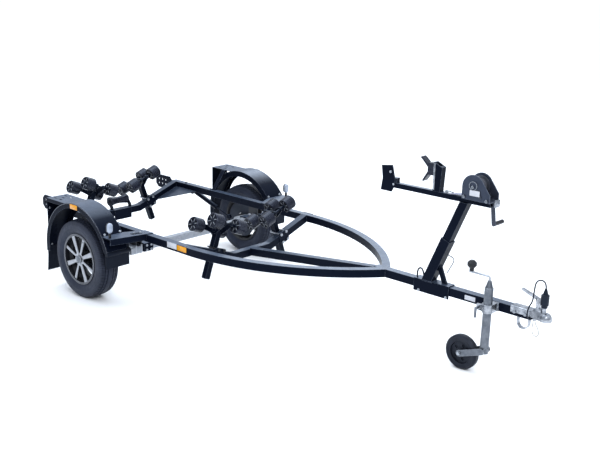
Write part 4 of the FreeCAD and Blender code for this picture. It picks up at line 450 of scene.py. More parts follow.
COAT = black_coat()
CHEEK = winch_coat()
GALV = galvanised()
ZINC = zinc("zinc_steel", colour(0.22, 0.24, 0.27), colour(0.38, 0.41, 0.45), 0.34)
DULL = zinc("dull_zinc", colour(0.105, 0.118, 0.138), colour(0.165, 0.180, 0.205), 0.40)
BRIGHT = zinc("bright_zinc", colour(0.17, 0.185, 0.21), colour(0.40, 0.42, 0.455), 0.28)
ALLOY = cast_alloy()
TYRE = tyre_stuff()
GREY = rubber("grey_rubber", colour(0.003, 0.0035, 0.006), colour(0.007, 0.008, 0.013), 0.52, 600.0, 0.0003,
              colour(0.03, 0.034, 0.045))
ROLLER = rubber("roller_rubber", colour(0.0035, 0.0041, 0.0085), colour(0.0085, 0.0098, 0.0185), 0.28, 700.0, 0.0002,
                colour(0.050, 0.056, 0.078))
FLAP = flap_rubber()
CLEAR = lens("clear_lens", colour(0.62, 0.66, 0.72), colour(0.26, 0.30, 0.36), 0.0)
# The amber reflectors glow a little, painted light, as they are no lamps.
AMBER = lens("amber_lens", colour(0.78, 0.36, 0.0), colour(0.50, 0.19, 0.0), 0.10)
BLACK = plastic("black_plastic", colour(0.0026, 0.003, 0.0048), colour(0.0064, 0.0072, 0.0110), 0.40)
WEB = plastic("grey_webbing", colour(0.16, 0.16, 0.20), colour(0.34, 0.34, 0.42), 0.75)
LABEL = plastic("blank_label", colour(0.42, 0.43, 0.46), colour(0.52, 0.53, 0.57), 0.42)
CREAM = plastic("cream_sleeve", colour(0.13, 0.12, 0.09), colour(0.20, 0.185, 0.14), 0.45)
# Paler metal for the mudguards' edge beads, a painted highlight along them.
EDGE_HIGHLIGHT_METAL = zinc("painted_edge_highlight", colour(0.020, 0.024, 0.034), colour(0.060, 0.068, 0.086), 0.26)
# Pale bars on the rollers' spokes, a painted highlight.
SPOKE_HIGHLIGHT = plastic("roller_spoke_highlights", colour(0.16, 0.175, 0.20), colour(0.26, 0.28, 0.31), 0.35)
SHADED_DRUM = drum_stuff()

# The finishes that split takes: dark, pale, metal, rough
PAINTED = (colour(0.004, 0.005, 0.008), colour(0.010, 0.012, 0.017), 0.0, 0.34)
STEEL = (colour(0.26, 0.28, 0.31), colour(0.44, 0.47, 0.52), 0.9, 0.34)
GREY_STEEL = (colour(0.030, 0.035, 0.048), colour(0.062, 0.072, 0.095), 0.7, 0.38)
MOULDED = (colour(0.0026, 0.003, 0.0048), colour(0.0064, 0.0072, 0.0110), 0.0, 0.42)
GLASS = (colour(0.20, 0.24, 0.31), colour(0.42, 0.47, 0.56), 0.0, 0.10)

# Where they part, in the level frame; a mask picks the second finish
CLASP_HALF, CLASP_TOP_Z = 60.0, 396.0
CRANK_GRIP_Y = 88.0
KNOB_FRONT_X, KNOB_LOW_Z = 2645.0, 658.5
LENS_BACK_X, LENS_LOW_Z = 362.0, 538.0


def near_front(tree):
    """The near front cradle's post."""
    near = below(tree, level(tree, LEFT), 0.0)
    return both_of(tree, near, above(tree, level(tree, FORWARD), 0.0))


def round_axle(tree):
    """The part of the axle's mounts that is round its tube."""
    reach = math_of(tree, "ABSOLUTE", math_of(tree, "SUBTRACT", level(tree, FORWARD), AXLE_X))
    return both_of(tree, below(tree, reach, CLASP_HALF), below(tree, level(tree, UP), CLASP_TOP_Z))


def past_arm(tree):
    """The winch crank's grip, past its arm."""
    return above(tree, level(tree, LEFT), CRANK_GRIP_Y)


def on_knob(tree):
    """The knob on the jockey wheel's crank."""
    return both_of(tree, below(tree, level(tree, FORWARD), KNOB_FRONT_X), above(tree, level(tree, UP), KNOB_LOW_Z))


def lamp_front(tree):
    """A marker lamp's lens, before its back and above its foot."""
    return both_of(tree, above(tree, level(tree, FORWARD), LENS_BACK_X), above(tree, level(tree, UP), LENS_LOW_Z))


OWN = {"winch_drum": SHADED_DRUM, "winch_frame": CHEEK,
       "post_bolts": split("bolt_steel", near_front, STEEL, PAINTED),
       "axle_mounts": split("mount_steel", round_axle, PAINTED, STEEL),
       "winch_crank": split("crank_steel", past_arm, GREY_STEEL, MOULDED),
       "jockey_crank": split("crank_and_knob", on_knob, STEEL, MOULDED),
       "marker_lamps": split("lamp_and_foot", lamp_front, MOULDED, GLASS),
       "jockey_tube": DULL, "jockey_leg": DULL, "jockey_fork": DULL, "jockey_handle": DULL,
       "jockey_clamp": BRIGHT, "coupling": BRIGHT, "coupling_lever": BRIGHT, "chain_loop": BRIGHT}

SLOTS = {"black_coat": COAT, "galvanised": GALV, "zinc_steel": ZINC, "cast_alloy": ALLOY, "tyre_rubber": TYRE,
         "grey_rubber": GREY, "roller_rubber": ROLLER, "flap_rubber": FLAP, "clear_lens": CLEAR,
         "amber_lens": AMBER, "black_plastic": BLACK}

for part in frame["record"]["subparts"]:
    data = NODES[part["node"]].data
    data.materials.clear()
    data.materials.append(OWN.get(part["node"], SLOTS[part["material_slot"]]))


# Mesh kit

def finish(name, mesh, stuff, body, smooth=35):
    """Makes a piece of a bmesh that was drawn in the parked frame's metres; smooth is in degrees."""
    data = bpy.data.meshes.new(name)
    bmesh.ops.recalc_face_normals(mesh, faces=mesh.faces)
    mesh.to_mesh(data)
    mesh.free()
    data.materials.append(stuff)
    piece = bpy.data.objects.new(name, data)
    bpy.context.collection.objects.link(piece)
    data.shade_smooth()
    data.set_sharp_from_angle(angle=math.radians(smooth))
    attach(piece, body)
    return piece


def between(mesh, one, two, closed=True):
    """Faces between two rows of points; closed joins the rows' ends as well."""
    for index in range(len(one) if closed else len(one) - 1):
        after = (index + 1) % len(one)
        mesh.faces.new((one[index], one[after], two[after], two[index]))


def skin(mesh, rings):
    """Faces from each ring of points to the next, with the first and the last ring filled."""
    for one, two in zip(rings, rings[1:]):
        between(mesh, one, two)
    mesh.faces.new(rings[0])
    mesh.faces.new(rings[-1])


def turned(mesh, profile, centre, axis, steps, closed=False):
    """A lathe form: the profile's (radius, distance along the axis) pairs swept about the axis."""
    axis = axis.normalized()
    side = axis.orthogonal().normalized()
    other = axis.cross(side)
    rings = []
    for count in range(steps):
        angle = 2 * math.pi * count / steps
        out = side * math.cos(angle) + other * math.sin(angle)
        rings.append([mesh.verts.new(centre + out * r * MM + axis * h * MM) for r, h in profile])
    for count in range(steps):
        between(mesh, rings[count], rings[(count + 1) % steps], closed)
    if not closed:
        for end in (0, -1):
            mesh.faces.new([ring[end] for ring in rings])


def bolt(mesh, centre, axis, size):
    """A hexagon head with a chamfered top on a washer; size is the thread's diameter."""
    washer_r, washer_t, head_r, top, chamfer = size * 1.05, size * 0.16, size * 0.95, size * 0.80, size * 0.1
    turned(mesh, [(washer_r, 0.0), (washer_r, washer_t), (size * 0.5, washer_t)], centre, axis, 24)
    turned(mesh, [(head_r, washer_t), (head_r, top - chamfer), (head_r * 0.86, top)], centre, axis, 6)


def bolts(name, spots, stuff, size=8.0):
    """One piece of several bolts on the frame; a spot is its x, y and z, and the axis that its head points along."""
    mesh = bmesh.new()
    for x, y, z, axis in spots:
        bolt(mesh, at(x, y, z), axis, size)
    finish(name, mesh, stuff, "frame", 25)


def knob(mesh, centre, axis, radius, height):
    """A round cap with a domed top."""
    turned(mesh, [(radius, 0.0), (radius, height * 0.4), (radius * 0.8, height * 0.8), (radius * 0.4, height)],
           centre, axis, 24)


def slab(mesh, centre, along_x, along_y, size, corner, thick, soft):
    """A plate with round corners and soft upper edges."""
    x, y = along_x.normalized(), along_y.normalized()
    z = x.cross(y)
    outline = []
    for quarter, (sx, sy) in enumerate(((1, 1), (-1, 1), (-1, -1), (1, -1))):
        middle = Vector((sx * (size[0] / 2 - corner), sy * (size[1] / 2 - corner)))
        for step in range(5):
            angle = math.pi / 2 * (quarter + step / 4)
            outline.append((middle, Vector((math.cos(angle), math.sin(angle)))))
    rings = []
    for height, shrink in ((0, 0), (thick - soft, 0), (thick - soft * 0.3, soft * 0.3), (thick, soft)):
        ring = []
        for middle, out in outline:
            flat = middle + out * (corner - shrink)
            ring.append(mesh.verts.new(centre + (x * flat.x + y * flat.y + z * height) * MM))
        rings.append(ring)
    skin(mesh, rings)


def side_slab(mesh, side, x, y, z, size, corner, thick, soft=0.6):
    """A slab on an upright face that looks to one side; size is its length and height."""
    if side < 0:
        slab(mesh, at(x, y, z), FORWARD, UP, size, corner, thick, soft)
    else:
        slab(mesh, at(x, y, z), UP, FORWARD, (size[1], size[0]), corner, thick, soft)


def rope(name, points, radius, stuff, body):
    """A smooth round line of a radius in metres through a route's control points, which are in metres too."""
    curve = bpy.data.curves.new(name, "CURVE")
    curve.dimensions = "3D"
    curve.bevel_depth, curve.bevel_resolution, curve.resolution_u = radius, 5, 14
    curve.use_fill_caps = True
    line = curve.splines.new("NURBS")
    line.points.add(len(points) - 1)
    for point, place in zip(line.points, points):
        point.co = (*place, 1)
    line.order_u = 3
    line.use_endpoint_u = True
    curve.materials.append(stuff)
    piece = bpy.data.objects.new(name, curve)
    bpy.context.collection.objects.link(piece)
    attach(piece, body)
    return piece


# Floor and sky

def floor():
    """A plain pale studio floor."""
    mesh = bmesh.new()
    bmesh.ops.create_grid(mesh, x_segments=2, y_segments=2, size=900)
    data = bpy.data.meshes.new("floor")
    mesh.to_mesh(data)
    mesh.free()
    stuff, tree, shader = tree_of("floor")
    pale = blend(tree, noise(tree, 0.8), colour(0.86, 0.86, 0.86), colour(0.88, 0.88, 0.88))
    give(tree, shader.inputs["Base Color"], pale)
    give(tree, shader.inputs["Roughness"], 0.9)
    data.materials.append(stuff)
    ground = bpy.data.objects.new("floor", data)
    bpy.context.collection.objects.link(ground)


def sky():
    """A soft cool glow that brightens upwards."""
    world = bpy.data.worlds.new("studio")
    world.use_nodes = True
    tree = world.node_tree
    height = put(tree, "SeparateXYZ", {0: put(tree, "TexCoord", {}).outputs["Generated"]}).outputs["Z"]
    glow = blend(tree, span(tree, height, 0.0, 0.75, 0.0, 1.0), colour(0.40, 0.43, 0.48), colour(1.36, 1.46, 1.62))
    give(tree, tree.nodes["Background"].inputs["Color"], glow)
    give(tree, tree.nodes["Background"].inputs["Strength"], 1.0)
    bpy.context.scene.world = world


floor()
sky()


# Cords: the routes' points are the construction's

SEAT, HOUSING_T = 0.3, 5.0
PLUG_X, PLUG_LOW_Z, PLUG_RING_H, PLUG_H, BOOT_H = 3014.0, 530.0, 12.0, 61.0, 33.0
CABLE_R, CABLE_RUN, CABLE_FALL, CABLE_TURN = 3.8, 30.0, 53.0, 16.0
CABLE_OUT, CABLE_BACK, CABLE_UP = 20.0, 9.0, 11.0
SOCKET_Z, SOCKET_SKIRT, FERRULE_LONG = 472.0, 12.0, 14.0
SAFETY_R, SAFETY_X, SAFETY_HALF, SAFETY_DROP, SAFETY_WIDE, SAFETY_LONG = 2.0, 2965.0, 5.0, 13.0, 19.0, 90.0


def cable():
    """Over the plug, down beside the lever and in through the drawbar's right wall."""
    run, fall, turn = CABLE_RUN, CABLE_FALL, CABLE_TURN
    across = run * math.cos(math.pi / 6)
    top = PLUG_LOW_Z + SEAT + PLUG_RING_H + PLUG_H + BOOT_H + SEAT
    side = -(BAR / 2 + HOUSING_T + CABLE_OUT)
    over_x, over_z = PLUG_X - 2 * across, top + run
    entry_x, entry_z = BAR_FRONT_X - CABLE_BACK, BAR_BOTTOM + CABLE_UP
    knee_x, knee_z = (over_x + entry_x) / 2 - CABLE_R, (over_z - 2 * fall + entry_z + turn + run) / 2
    route = [at(PLUG_X, 0, top), at(PLUG_X, side / 16, over_z), at(PLUG_X - across, side / 6, over_z + run / 2),
             at(over_x, side / 3, over_z), at(over_x, side * 8 / 15, over_z - fall),
             at(over_x, side * 2 / 3, over_z - 2 * fall), at(knee_x, side * 5 / 6, knee_z),
             at(entry_x, side, entry_z + turn + run), at(entry_x, side, entry_z + turn),
             at(entry_x, side + turn, entry_z), at(entry_x, side + turn + BAR / 2 - WALL, entry_z)]
    route.reverse()
    piece = rope("cable_to_plug", route, CABLE_R * MM, BLACK, "frame")
    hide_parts("plug_cable")


def safety_loop():
    """A hanging loop whose two ends are crimped side by side."""
    x, half, wide = SAFETY_X, SAFETY_HALF, SAFETY_WIDE
    top = SOCKET_Z - SOCKET_SKIRT - FERRULE_LONG - SEAT
    rear, front, low = x - half, x - half + 2 * wide, top - SAFETY_LONG
    route = [at(rear, 0, top), at(rear - half, 0, top - SAFETY_LONG / 2), at(rear, 0, low + wide * 3 / 4),
             at(rear + wide, 0, low), at(front, 0, low + wide * 3 / 4), at(front - half, 0, low + SAFETY_LONG / 2),
             at(x + half, 0, top - SAFETY_DROP), at(x + half, 0, top)]
    piece = rope("safety_loop", route, SAFETY_R * MM, CREAM, "frame")
    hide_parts("safety_cable")


cable()
safety_loop()


# Road tyres

TYRE_W, TREAD_W, SHOULDER_DROP, SIDEWALL_R = 155.0, 128.0, 9.0, 226.0
SIDE_LOW_R, SIDE_LOW_Y, SIDE_RIDGE = 172.0, 59.7, 1.2
TREAD_HALF = TREAD_W / 2
TREAD_GROOVE, GROOVE_EDGE = 7.0, 0.4
RIBS_AND_GROOVES = ((18.0, 0.0), (6.0, TREAD_GROOVE), (16.0, 0.0), (6.0, TREAD_GROOVE), (18.0, 0.0))
BLOCKS, STEPS_A_BLOCK, BLOCK_SLANT = 66, 5, 0.02


def tyre_profile():
    """Half of the tyre's section, from its bead over the shoulder and across the tread, as (radius, y) pairs."""
    points = []
    for step in range(13):
        t = step / 12
        bulge = SIDE_LOW_Y + (TYRE_W / 2 - SIDE_LOW_Y) * math.sin(t * math.pi / 2)
        ridge = SIDE_RIDGE if step in (2, 3, 10) else 0.0
        points.append((SIDE_LOW_R + (SIDEWALL_R - SIDE_LOW_R) * t, bulge - SIDE_RIDGE + ridge))
    shoulder_h, shoulder_w = WHEEL_R - SHOULDER_DROP - SIDEWALL_R, TYRE_W / 2 - TREAD_HALF
    for step in range(1, 9):
        t = step / 8 * math.pi / 2
        points.append((SIDEWALL_R + shoulder_h * math.sin(t), TREAD_HALF + shoulder_w * math.cos(t) ** 1.4))
    y = TREAD_HALF
    for width, depth in RIBS_AND_GROOVES:
        for edge, inset in ((y, GROOVE_EDGE), (y - width, -GROOVE_EDGE)):
            points.append((WHEEL_R - SHOULDER_DROP * (edge / TREAD_HALF) ** 2 - depth, edge - inset))
        y -= width
    return points


def block_cut(r, wide):
    """How deep a cut between two tread blocks is at a point of the section."""
    if 24.0 < wide < 40.0:
        return 3.0
    return 4.5 if 46.5 < wide < 66.0 and r > 262.0 else 0.0


def tyre(side):
    """Sidewalls with low rings, and a tread of five ribs, all but the middle one cut across into blocks."""
    mesh = bmesh.new()
    half = tyre_profile()
    section = half + [(r, -h) for r, h in reversed(half)]
    steps = BLOCKS * STEPS_A_BLOCK
    centre = Vector((WHEEL_X, (TYRE_LOW[1] + TYRE_HIGH[1]) / 2 * side, WHEEL_R * MM))
    rings = []
    for count in range(steps):
        ring = []
        for r, h in section:
            cut = block_cut(r, abs(h)) if count % STEPS_A_BLOCK == 0 else 0.0
            turn = 2 * math.pi * count / steps + BLOCK_SLANT * h / TREAD_HALF
            spot = Vector((math.sin(turn) * (r - cut), h, math.cos(turn) * (r - cut)))
            ring.append(mesh.verts.new(centre + spot * MM))
        rings.append(ring)
    for count in range(steps):
        between(mesh, rings[count], rings[(count + 1) % steps])
    piece = finish("road_tyre_" + word_of(side), mesh, TYRE, "wheel_" + word_of(side), 40)
    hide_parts("tyre_" + word_of(side))


# Road wheels and mudguards

LUGS, LUG_PITCH_R = 5, 36.0
VALVE_TURN = 0.39
GUARD_CENTRE_X, GUARD_CENTRE_Z, GUARD_R, GUARD_REAR_R = -10.0, 280.0, 385.0, 352.0
GUARD_FRONT_Z, GUARD_REAR_Z, GUARD_IN_Y, GUARD_OUT_Y, GUARD_T = 405.0, 262.0, 688.0, 853.0, 3.0
INNER_LIP, EDGE_R = 42.0, 2.8


def wheel_pieces(side):
    """A road wheel's dark back, a disc of painted shade behind its spokes, and its bolts, cap and valve."""
    word, out = word_of(side), LEFT * side
    body, hub = "wheel_" + word, at(0, WHEEL_Y * side, WHEEL_R)

    # A dark disc that stands in for the shade inside the wheel.
    painted_shade_web = bmesh.new()
    turned(painted_shade_web, [(48, -65), (100, -61), (141, -63), (141, -59), (100, -57), (48, -61)], hub, out, 72, closed=True)
    finish("wheel_shade_disc_" + word, painted_shade_web, BLACK, body)

    nuts = bmesh.new()
    for count in range(LUGS):
        angle = 2 * math.pi * count / LUGS
        radial = FORWARD * math.sin(angle) + UP * math.cos(angle)
        bolt(nuts, hub + radial * LUG_PITCH_R * MM + out * 56 * MM, out, 6.2)
    finish("lug_bolts_" + word, nuts, ZINC, body, 25)

    cap = bmesh.new()
    turned(cap, [(26, 0), (25.5, 1.6), (22, 2.4), (21, 1.8), (19, 1.8), (10, 4.0), (3, 4.4)],
           hub + out * 70 * MM, out, 48)
    finish("hub_cap_" + word, cap, DULL, body)

    stem = bmesh.new()
    radial = FORWARD * math.sin(VALVE_TURN) + UP * math.cos(VALVE_TURN)
    turned(stem, [(4.6, -4), (4.6, 3), (3.0, 6), (3.0, 17), (4.0, 17.5), (4.0, 25), (3.2, 26.5)],
           hub + radial * 150 * MM + out * 42 * MM, out * 0.88 - radial * 0.47, 20)
    finish("valve_" + word, stem, BLACK, body)


def arch_points(depth):
    """A mudguard's outline from its front edge to its rear foot, drawn depth inside the arch."""
    front_r, rear_r = GUARD_R - depth, GUARD_REAR_R - depth
    rear_centre_z = GUARD_CENTRE_Z + GUARD_R - GUARD_REAR_R
    start = math.asin((GUARD_FRONT_Z - GUARD_CENTRE_Z) / GUARD_R)
    points = []
    for step in range(17):
        angle = start + (math.pi / 2 - start) * step / 16
        points.append((GUARD_CENTRE_X + front_r * math.cos(angle), GUARD_CENTRE_Z + front_r * math.sin(angle)))
    for step in range(1, 17):
        angle = math.pi / 2 * (1 + step / 16)
        points.append((GUARD_CENTRE_X + rear_r * math.cos(angle), rear_centre_z + rear_r * math.sin(angle)))
    points.append((GUARD_CENTRE_X - rear_r, GUARD_REAR_Z + 2.0))
    return points


def guard_pieces(side):
    """A mudguard's inner lip, outer edge bead in a paler metal as a painted highlight, rolled flap top and bolts."""
    word = word_of(side)

    lip = bmesh.new()
    low_y, high_y = GUARD_IN_Y + 0.2, GUARD_IN_Y + GUARD_T
    rings = []
    for outer, inner in zip(arch_points(2.0), arch_points(2.0 + INNER_LIP)):
        section = ((outer, low_y), (outer, high_y), (inner, high_y), (inner, low_y))
        rings.append([lip.verts.new(at(x, y * side, z)) for (x, z), y in section])
    skin(lip, rings)
    finish("guard_inner_lip_" + word, lip, COAT, "frame", 30)

    # The outer edge bead, painted as a highlight in paler metal.
    edge = bmesh.new()
    rings = []
    for x, z in arch_points(1.5):
        radial = Vector((x - GUARD_CENTRE_X, 0, z - GUARD_CENTRE_Z - 10.0)).normalized()
        ring = []
        for count in range(10):
            angle = 2 * math.pi * count / 10
            out = radial * math.cos(angle) + Vector((0, math.sin(angle), 0))
            spot = Vector((x, GUARD_OUT_Y - 1.0, z)) + out * EDGE_R
            ring.append(edge.verts.new(at(spot.x, spot.y * side, spot.z)))
        rings.append(ring)
    skin(edge, rings)
    finish("guard_edge_" + word, edge, EDGE_HIGHLIGHT_METAL, "frame", 50)

    roll = bmesh.new()
    turned(roll, [(12, -94), (15.5, -93), (17, -90), (17, 90), (15.5, 93), (12, 94)],
           at(344, 756 * side, 388), LEFT, 32)
    finish("flap_roll_" + word, roll, FLAP, "frame")

    steep = math.radians(36.8)
    spots = [(299, y * side, 511, FORWARD * math.cos(steep) + UP * math.sin(steep)) for y in (704, 827)]
    spots += [(376, 647 * side, 505, UP), (398, 612 * side, 505, UP)]
    bolts("guard_bolts_" + word, spots, ZINC)
    spots = [(-354, y * side, 303, FORWARD) for y in (735, 817)]
    spots += [(-331, 833 * side, 576, FORWARD), (-331, 777 * side, 558, FORWARD)]
    bolts("guard_rear_bolts_" + word, spots, ZINC, size=7.0)


# Cradles

CROSS_FRONT_X, CROSS_REAR_X, CROSS_FLAT_Y, CROSS_DROP = 815.0, -650.0, 170.0, 135.0
FRONT_POST_Y, REAR_POST_Y = 308.0, 280.0
CRADLES = {"front": (CROSS_FRONT_X, FRONT_POST_Y), "rear": (CROSS_REAR_X, REAR_POST_Y)}
TILT = math.atan2(CROSS_DROP, RAIL_IN_Y - CROSS_FLAT_Y)
POST_BAR, POST_DOWN, POST_UP, CRADLE_PIVOT_RISE = 40.0, 180.0, 16.0, 148.0
POST_UPWARD = Vector((0, -math.sin(TILT), math.cos(TILT)))
ROCKER_TILT_DEG, CRADLE_PITCH_DEG = 21.5, 19.5
CRADLE_TURN = (Matrix.Rotation(math.radians(ROCKER_TILT_DEG), 3, "X")
               @ Matrix.Rotation(math.radians(-CRADLE_PITCH_DEG), 3, "Y"))
ROD_SPACING, PIVOT_DROP, ROD_END_Y = 178.0, 32.0, 146.0
ROLLER_SPACING, ROLLER_RIBS = 216.0, 6
SPOKE_LOW_R, SPOKE_HIGH_R, SPOKE_OUT = 16.0, 39.0, 35.1


def post_foot(cradle):
    """Where a cradle post's centre line passes its cross-member's."""
    cross_x, y = CRADLES[cradle]
    arm_z = BAR_MID - CROSS_DROP + (y - CROSS_FLAT_Y) * math.tan(TILT)
    return Vector((cross_x - (BAR + POST_BAR) / 2, y, arm_z))


def cradle_place(cradle, side, x, y, z):
    """A point of a cradle's rocker, which is drawn about its pivot, in metres on the parked trailer."""
    spot = post_foot(cradle) + POST_UPWARD * CRADLE_PIVOT_RISE + CRADLE_TURN @ Vector((x, y, z))
    return at(spot.x, spot.y * side, spot.z)


def cradle_pieces(cradle, side):
    """The caps on a cradle's rods and post, and pale bars on the spokes in its rollers' open ends, painted as the
    ribs' highlight.
    """
    word = cradle + "_" + word_of(side)
    across = (cradle_place(cradle, side, 0, 1, 0) - cradle_place(cradle, side, 0, 0, 0)).normalized()

    nuts = bmesh.new()
    for x in (-ROD_SPACING / 2, ROD_SPACING / 2):
        for end in (-1, 1):
            knob(nuts, cradle_place(cradle, side, x, ROD_END_Y * end, PIVOT_DROP), across * end, 9.4, 5.0)
    finish("rod_nuts_" + word, nuts, BLACK, "rocker_" + word, 30)

    # Pale bars on each roller's end ribs, painted as their highlight.
    for place, x in (("aft", -ROD_SPACING / 2), ("fore", ROD_SPACING / 2)):
        spokes = bmesh.new()
        for y in (-ROLLER_SPACING / 2, ROLLER_SPACING / 2):
            for end in (-1, 1):
                for count in range(ROLLER_RIBS):
                    angle = 2 * math.pi * count / ROLLER_RIBS
                    near, far = [cradle_place(cradle, side, x + r * math.cos(angle), y + SPOKE_OUT * end,
                                              PIVOT_DROP + r * math.sin(angle)) for r in (SPOKE_LOW_R, SPOKE_HIGH_R)]
                    out = (far - near).normalized()
                    slab(spokes, (near + far) / 2, out, (across * end).cross(out),
                         (SPOKE_HIGH_R - SPOKE_LOW_R, 4.6), 1.0, 1.4, 0.5)
        where = "%s_%s_%s" % (cradle, place, word_of(side))
        finish("roller_spoke_highlights_" + where, spokes, SPOKE_HIGHLIGHT, "rollers_" + where, 30)

    foot = post_foot(cradle)
    cap = bmesh.new()
    for reach, sign in ((-POST_DOWN, -1), (CRADLE_PIVOT_RISE + POST_UP, 1)):
        end = foot + POST_UPWARD * reach
        out = way(POST_UPWARD.x, POST_UPWARD.y * side, POST_UPWARD.z) * sign
        slab(cap, at(end.x, end.y * side, end.z), FORWARD, out.cross(FORWARD), (37, 37), 4.0, 3.0, 1.2)
    finish("post_caps_" + word, cap, BLACK, "frame", 30)


# Reflectors and plates

def reflectors():
    """Amber lenses on black backs, on the rails and on the mudguards' lips."""
    base, face = bmesh.new(), bmesh.new()
    for side in (-1, 1):
        for x, y, z, length, height in ((810, RAIL_Y + BAR / 2 + 0.2, 482.5, 95, 40),
                                        (-2, GUARD_OUT_Y + 0.2, 646, 86, 38)):
            side_slab(base, side, x, y * side, z, (length, height), 5, 2.0)
            side_slab(face, side, x, (y + 1.8) * side, z, (length - 6, height - 6), 4, 3.6, 1.2)
    finish("reflector_backs", base, BLACK, "frame")
    # The amber faces glow a little, painted light.
    piece = finish("reflector_faces", face, AMBER, "frame")
    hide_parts("side_reflectors")


def labels():
    """The plates on the near rail, the drawbar and the winch, left blank."""
    mesh = bmesh.new()
    side_slab(mesh, -1, 708.5, -RAIL_Y - BAR / 2, 482, (95, 37), 2, 0.5, 0.2)
    side_slab(mesh, -1, 2582, -BAR / 2, 473, (68, 26), 2, 0.8, 0.3)
    side_slab(mesh, -1, 2577, -CHEEK_Y, 1075, (62, 31), 3, 0.6, 0.2)
    finish("blank_labels", mesh, LABEL, "frame")


# Winch post

STRAP_HALF, STRAP_HALF_T = 20.0, 1.1
STRAP_RUN = ((2523, 1108), (2518, 1086), (2511, 1064), (2499, 1050), (2484, 1044.5), (2462, 1043), (2440, 1041),
             (2418, 1038.5), (2398, 1036.5))
HOOK_RUN = ((2412, 1043), (2398, 1044), (2382, 1046), (2366, 1046), (2357, 1041), (2366, 1038), (2378, 1038.5))
PIN_WIRE = ((2405, -10, 684), (2440, -16, 683), (2464, -20, 666), (2440, -20, 620), (2421, -20, 583))
EYE_WIRE = ((2222, -18, 502), (2214, -18, 545), (2240, -18, 575), (2264, -18, 545), (2268, -18, 502))


def strap_pieces():
    """The strap's run from the drum to its hook."""
    strap = bmesh.new()
    rings = []
    for index, (x, z) in enumerate(STRAP_RUN):
        before, after = STRAP_RUN[max(index - 1, 0)], STRAP_RUN[min(index + 1, len(STRAP_RUN) - 1)]
        line = Vector((after[0] - before[0], 0, after[1] - before[1])).normalized()
        off = Vector((-line.z, 0, line.x)) * STRAP_HALF_T
        section = ((1, -STRAP_HALF), (1, STRAP_HALF), (-1, STRAP_HALF), (-1, -STRAP_HALF))
        rings.append([strap.verts.new(at(x + off.x * face, y, z + off.z * face)) for face, y in section])
    skin(strap, rings)
    finish("winch_strap", strap, WEB, "frame", 50)
    rope("strap_hook", [at(x, 0, z) for x, z in HOOK_RUN], 0.0034, ZINC, "frame")


def winch_pieces():
    """What is bolted to the winch, the catch and the bow stop."""
    ring = bmesh.new()
    turned(ring, [(21, 0), (25, 0), (25, 0.6), (21, 0.6)], at(2564, -CHEEK_Y, 1114), -LEFT, 48, closed=True)
    finish("winch_ring", ring, DULL, "frame")

    spots = [(x, -CHEEK_Y, z, -LEFT) for x, z in ((2561, 1106), (2510, 1047), (2650, 1044))]
    spots += [(x, CHEEK_Y, z, LEFT) for x, z in ((2561, 1106), (2510, 1047))]
    bolts("winch_nuts", spots, DULL)

    block = bmesh.new()
    slab(block, at(2669, 26, 1024), LEFT, UP, (46, 40), 4, 9, 1.5)
    finish("winch_block", block, BRIGHT, "frame")
    bolts("winch_block_bolts", [(2678, y, 1024, FORWARD) for y in (14, 38)], ZINC, size=6.0)

    strap_pieces()

    strip = bmesh.new()
    slab(strip, at(2292, -20.2, 1117), FORWARD, UP, (11, 150), 2, 1.6, 0.5)
    finish("catch_strip", strip, BRIGHT, "frame")
    bolts("bow_stop_bolts", [(1994, -21.5, 1095, -LEFT), (2016, -15.2, 1024, -LEFT)], ZINC)


def mast_pieces():
    """The saddle's bolts, the wire on the mast's pin and the bent eye on the drawbar."""
    spots = [(x, side * 31.2, 438, LEFT * side) for side in (-1, 1) for x in (2241, 2428)]
    bolts("saddle_bolts", spots, ZINC)
    rope("mast_pin_wire", [at(*spot) for spot in PIN_WIRE], 0.0032, DULL, "frame")
    rope("drawbar_eye", [at(*spot) for spot in EYE_WIRE], 0.0048, BLACK, "frame")


# Coupling, jockey wheel and frame

JOCKEY_X, JOCKEY_Y, JOCKEY_TRAIL, JOCKEY_AXLE_HALF = 2730.0, -85.0, 136.0, 38.5
BEAD_RIPPLE = 3.2


def coupling_pieces():
    """The bolts through the coupling, and the nuts on the jockey wheel's axle."""
    spots = [(x, side * 30, BAR_MID, LEFT * side) for x in (2860, 2925) for side in (-1, 1)]
    bolts("coupling_bolts", spots, ZINC, size=9.0)
    nuts = bmesh.new()
    for side in (-1, 1):
        bolt(nuts, at(JOCKEY_X - JOCKEY_TRAIL, JOCKEY_Y + side * JOCKEY_AXLE_HALF, 178), LEFT * side, 10.0)
    finish("jockey_axle_nuts", nuts, ZINC, "jockey_fork", 25)


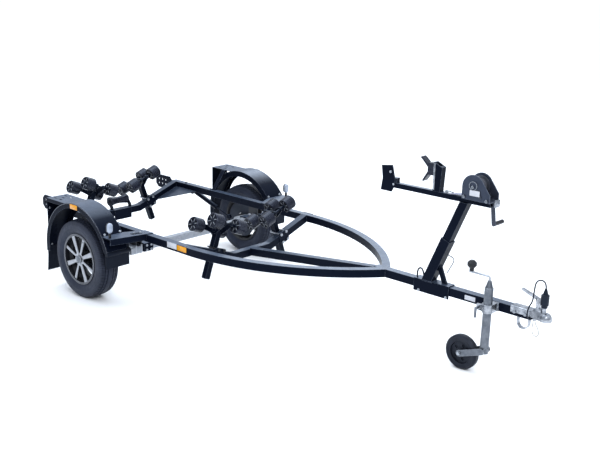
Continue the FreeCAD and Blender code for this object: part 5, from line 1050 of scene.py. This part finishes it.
def bead(mesh, start, end, radius):
    """A rippled weld bead from one level point to another."""
    start, end = at(*start), at(*end)
    length = (end - start).length / MM
    ripples = max(int(length / BEAD_RIPPLE), 3)
    profile = [(radius * 0.4, 0.0)]
    for count in range(ripples * 2 + 1):
        swell = 1.0 if count % 2 else 0.82
        profile.append((radius * swell, length * (count + 0.5) / (ripples * 2 + 2)))
    profile.append((radius * 0.4, length))
    turned(mesh, profile, start, end - start, 10)


def welds():
    """Beads where the cross-members meet the rails, at the saddle and where the mast meets its level bar."""
    mesh = bmesh.new()
    for side in (-1, 1):
        y = (RAIL_IN_Y - 0.4) * side
        for x in (790, 840, -675, -625):
            bead(mesh, (x, y, 453), (x, y, 497), 2.6)
        bead(mesh, (2262, 30.4 * side, 500.5), (2330, 30.4 * side, 500.5), 2.6)
        bead(mesh, (2288, 15.2 * side, 1033.4), (2340, 15.2 * side, 1033.4), 2.0)
    finish("weld_beads", mesh, COAT, "frame", 60)


def frame_pieces():
    """The frame's bolts, and the clamps and sleeves round its axle."""
    bolts("keel_bolts", [(-703, y, 329, -FORWARD) for y in (-36, 36)], ZINC)
    spots = [(x, side * RAIL_Y, 500.3, UP) for x in (-531, -223) for side in (-1, 1)]
    spots += [(x, side * RAIL_IN_Y, BAR_MID, -LEFT * side) for x in (-720, -840) for side in (-1, 1)]
    bolts("rail_bolts", spots, COAT, size=9.0)
    clamp, sleeve = bmesh.new(), bmesh.new()
    for side in (-1, 1):
        side_slab(clamp, side, AXLE_X, 452 * side, AXLE_Z, (88, 62), 12, 74, 4)
        side_slab(sleeve, side, AXLE_X, 546 * side, AXLE_Z - 2, (90, 54), 10, 92, 3)
    finish("axle_clamps", clamp, COAT, "frame")
    finish("axle_sleeves", sleeve, GALV, "frame")
    spots = [(329, side * y, z, FORWARD) for side in (-1, 1) for y in (470, 508) for z in (348, 380)]
    bolts("axle_clamp_bolts", spots, ZINC)


for side in (1, -1):
    tyre(side)
for side in (1, -1):
    wheel_pieces(side)
    guard_pieces(side)
    for cradle in CRADLES:
        cradle_pieces(cradle, side)
reflectors()
labels()
winch_pieces()
mast_pieces()
coupling_pieces()
frame_pieces()
welds()
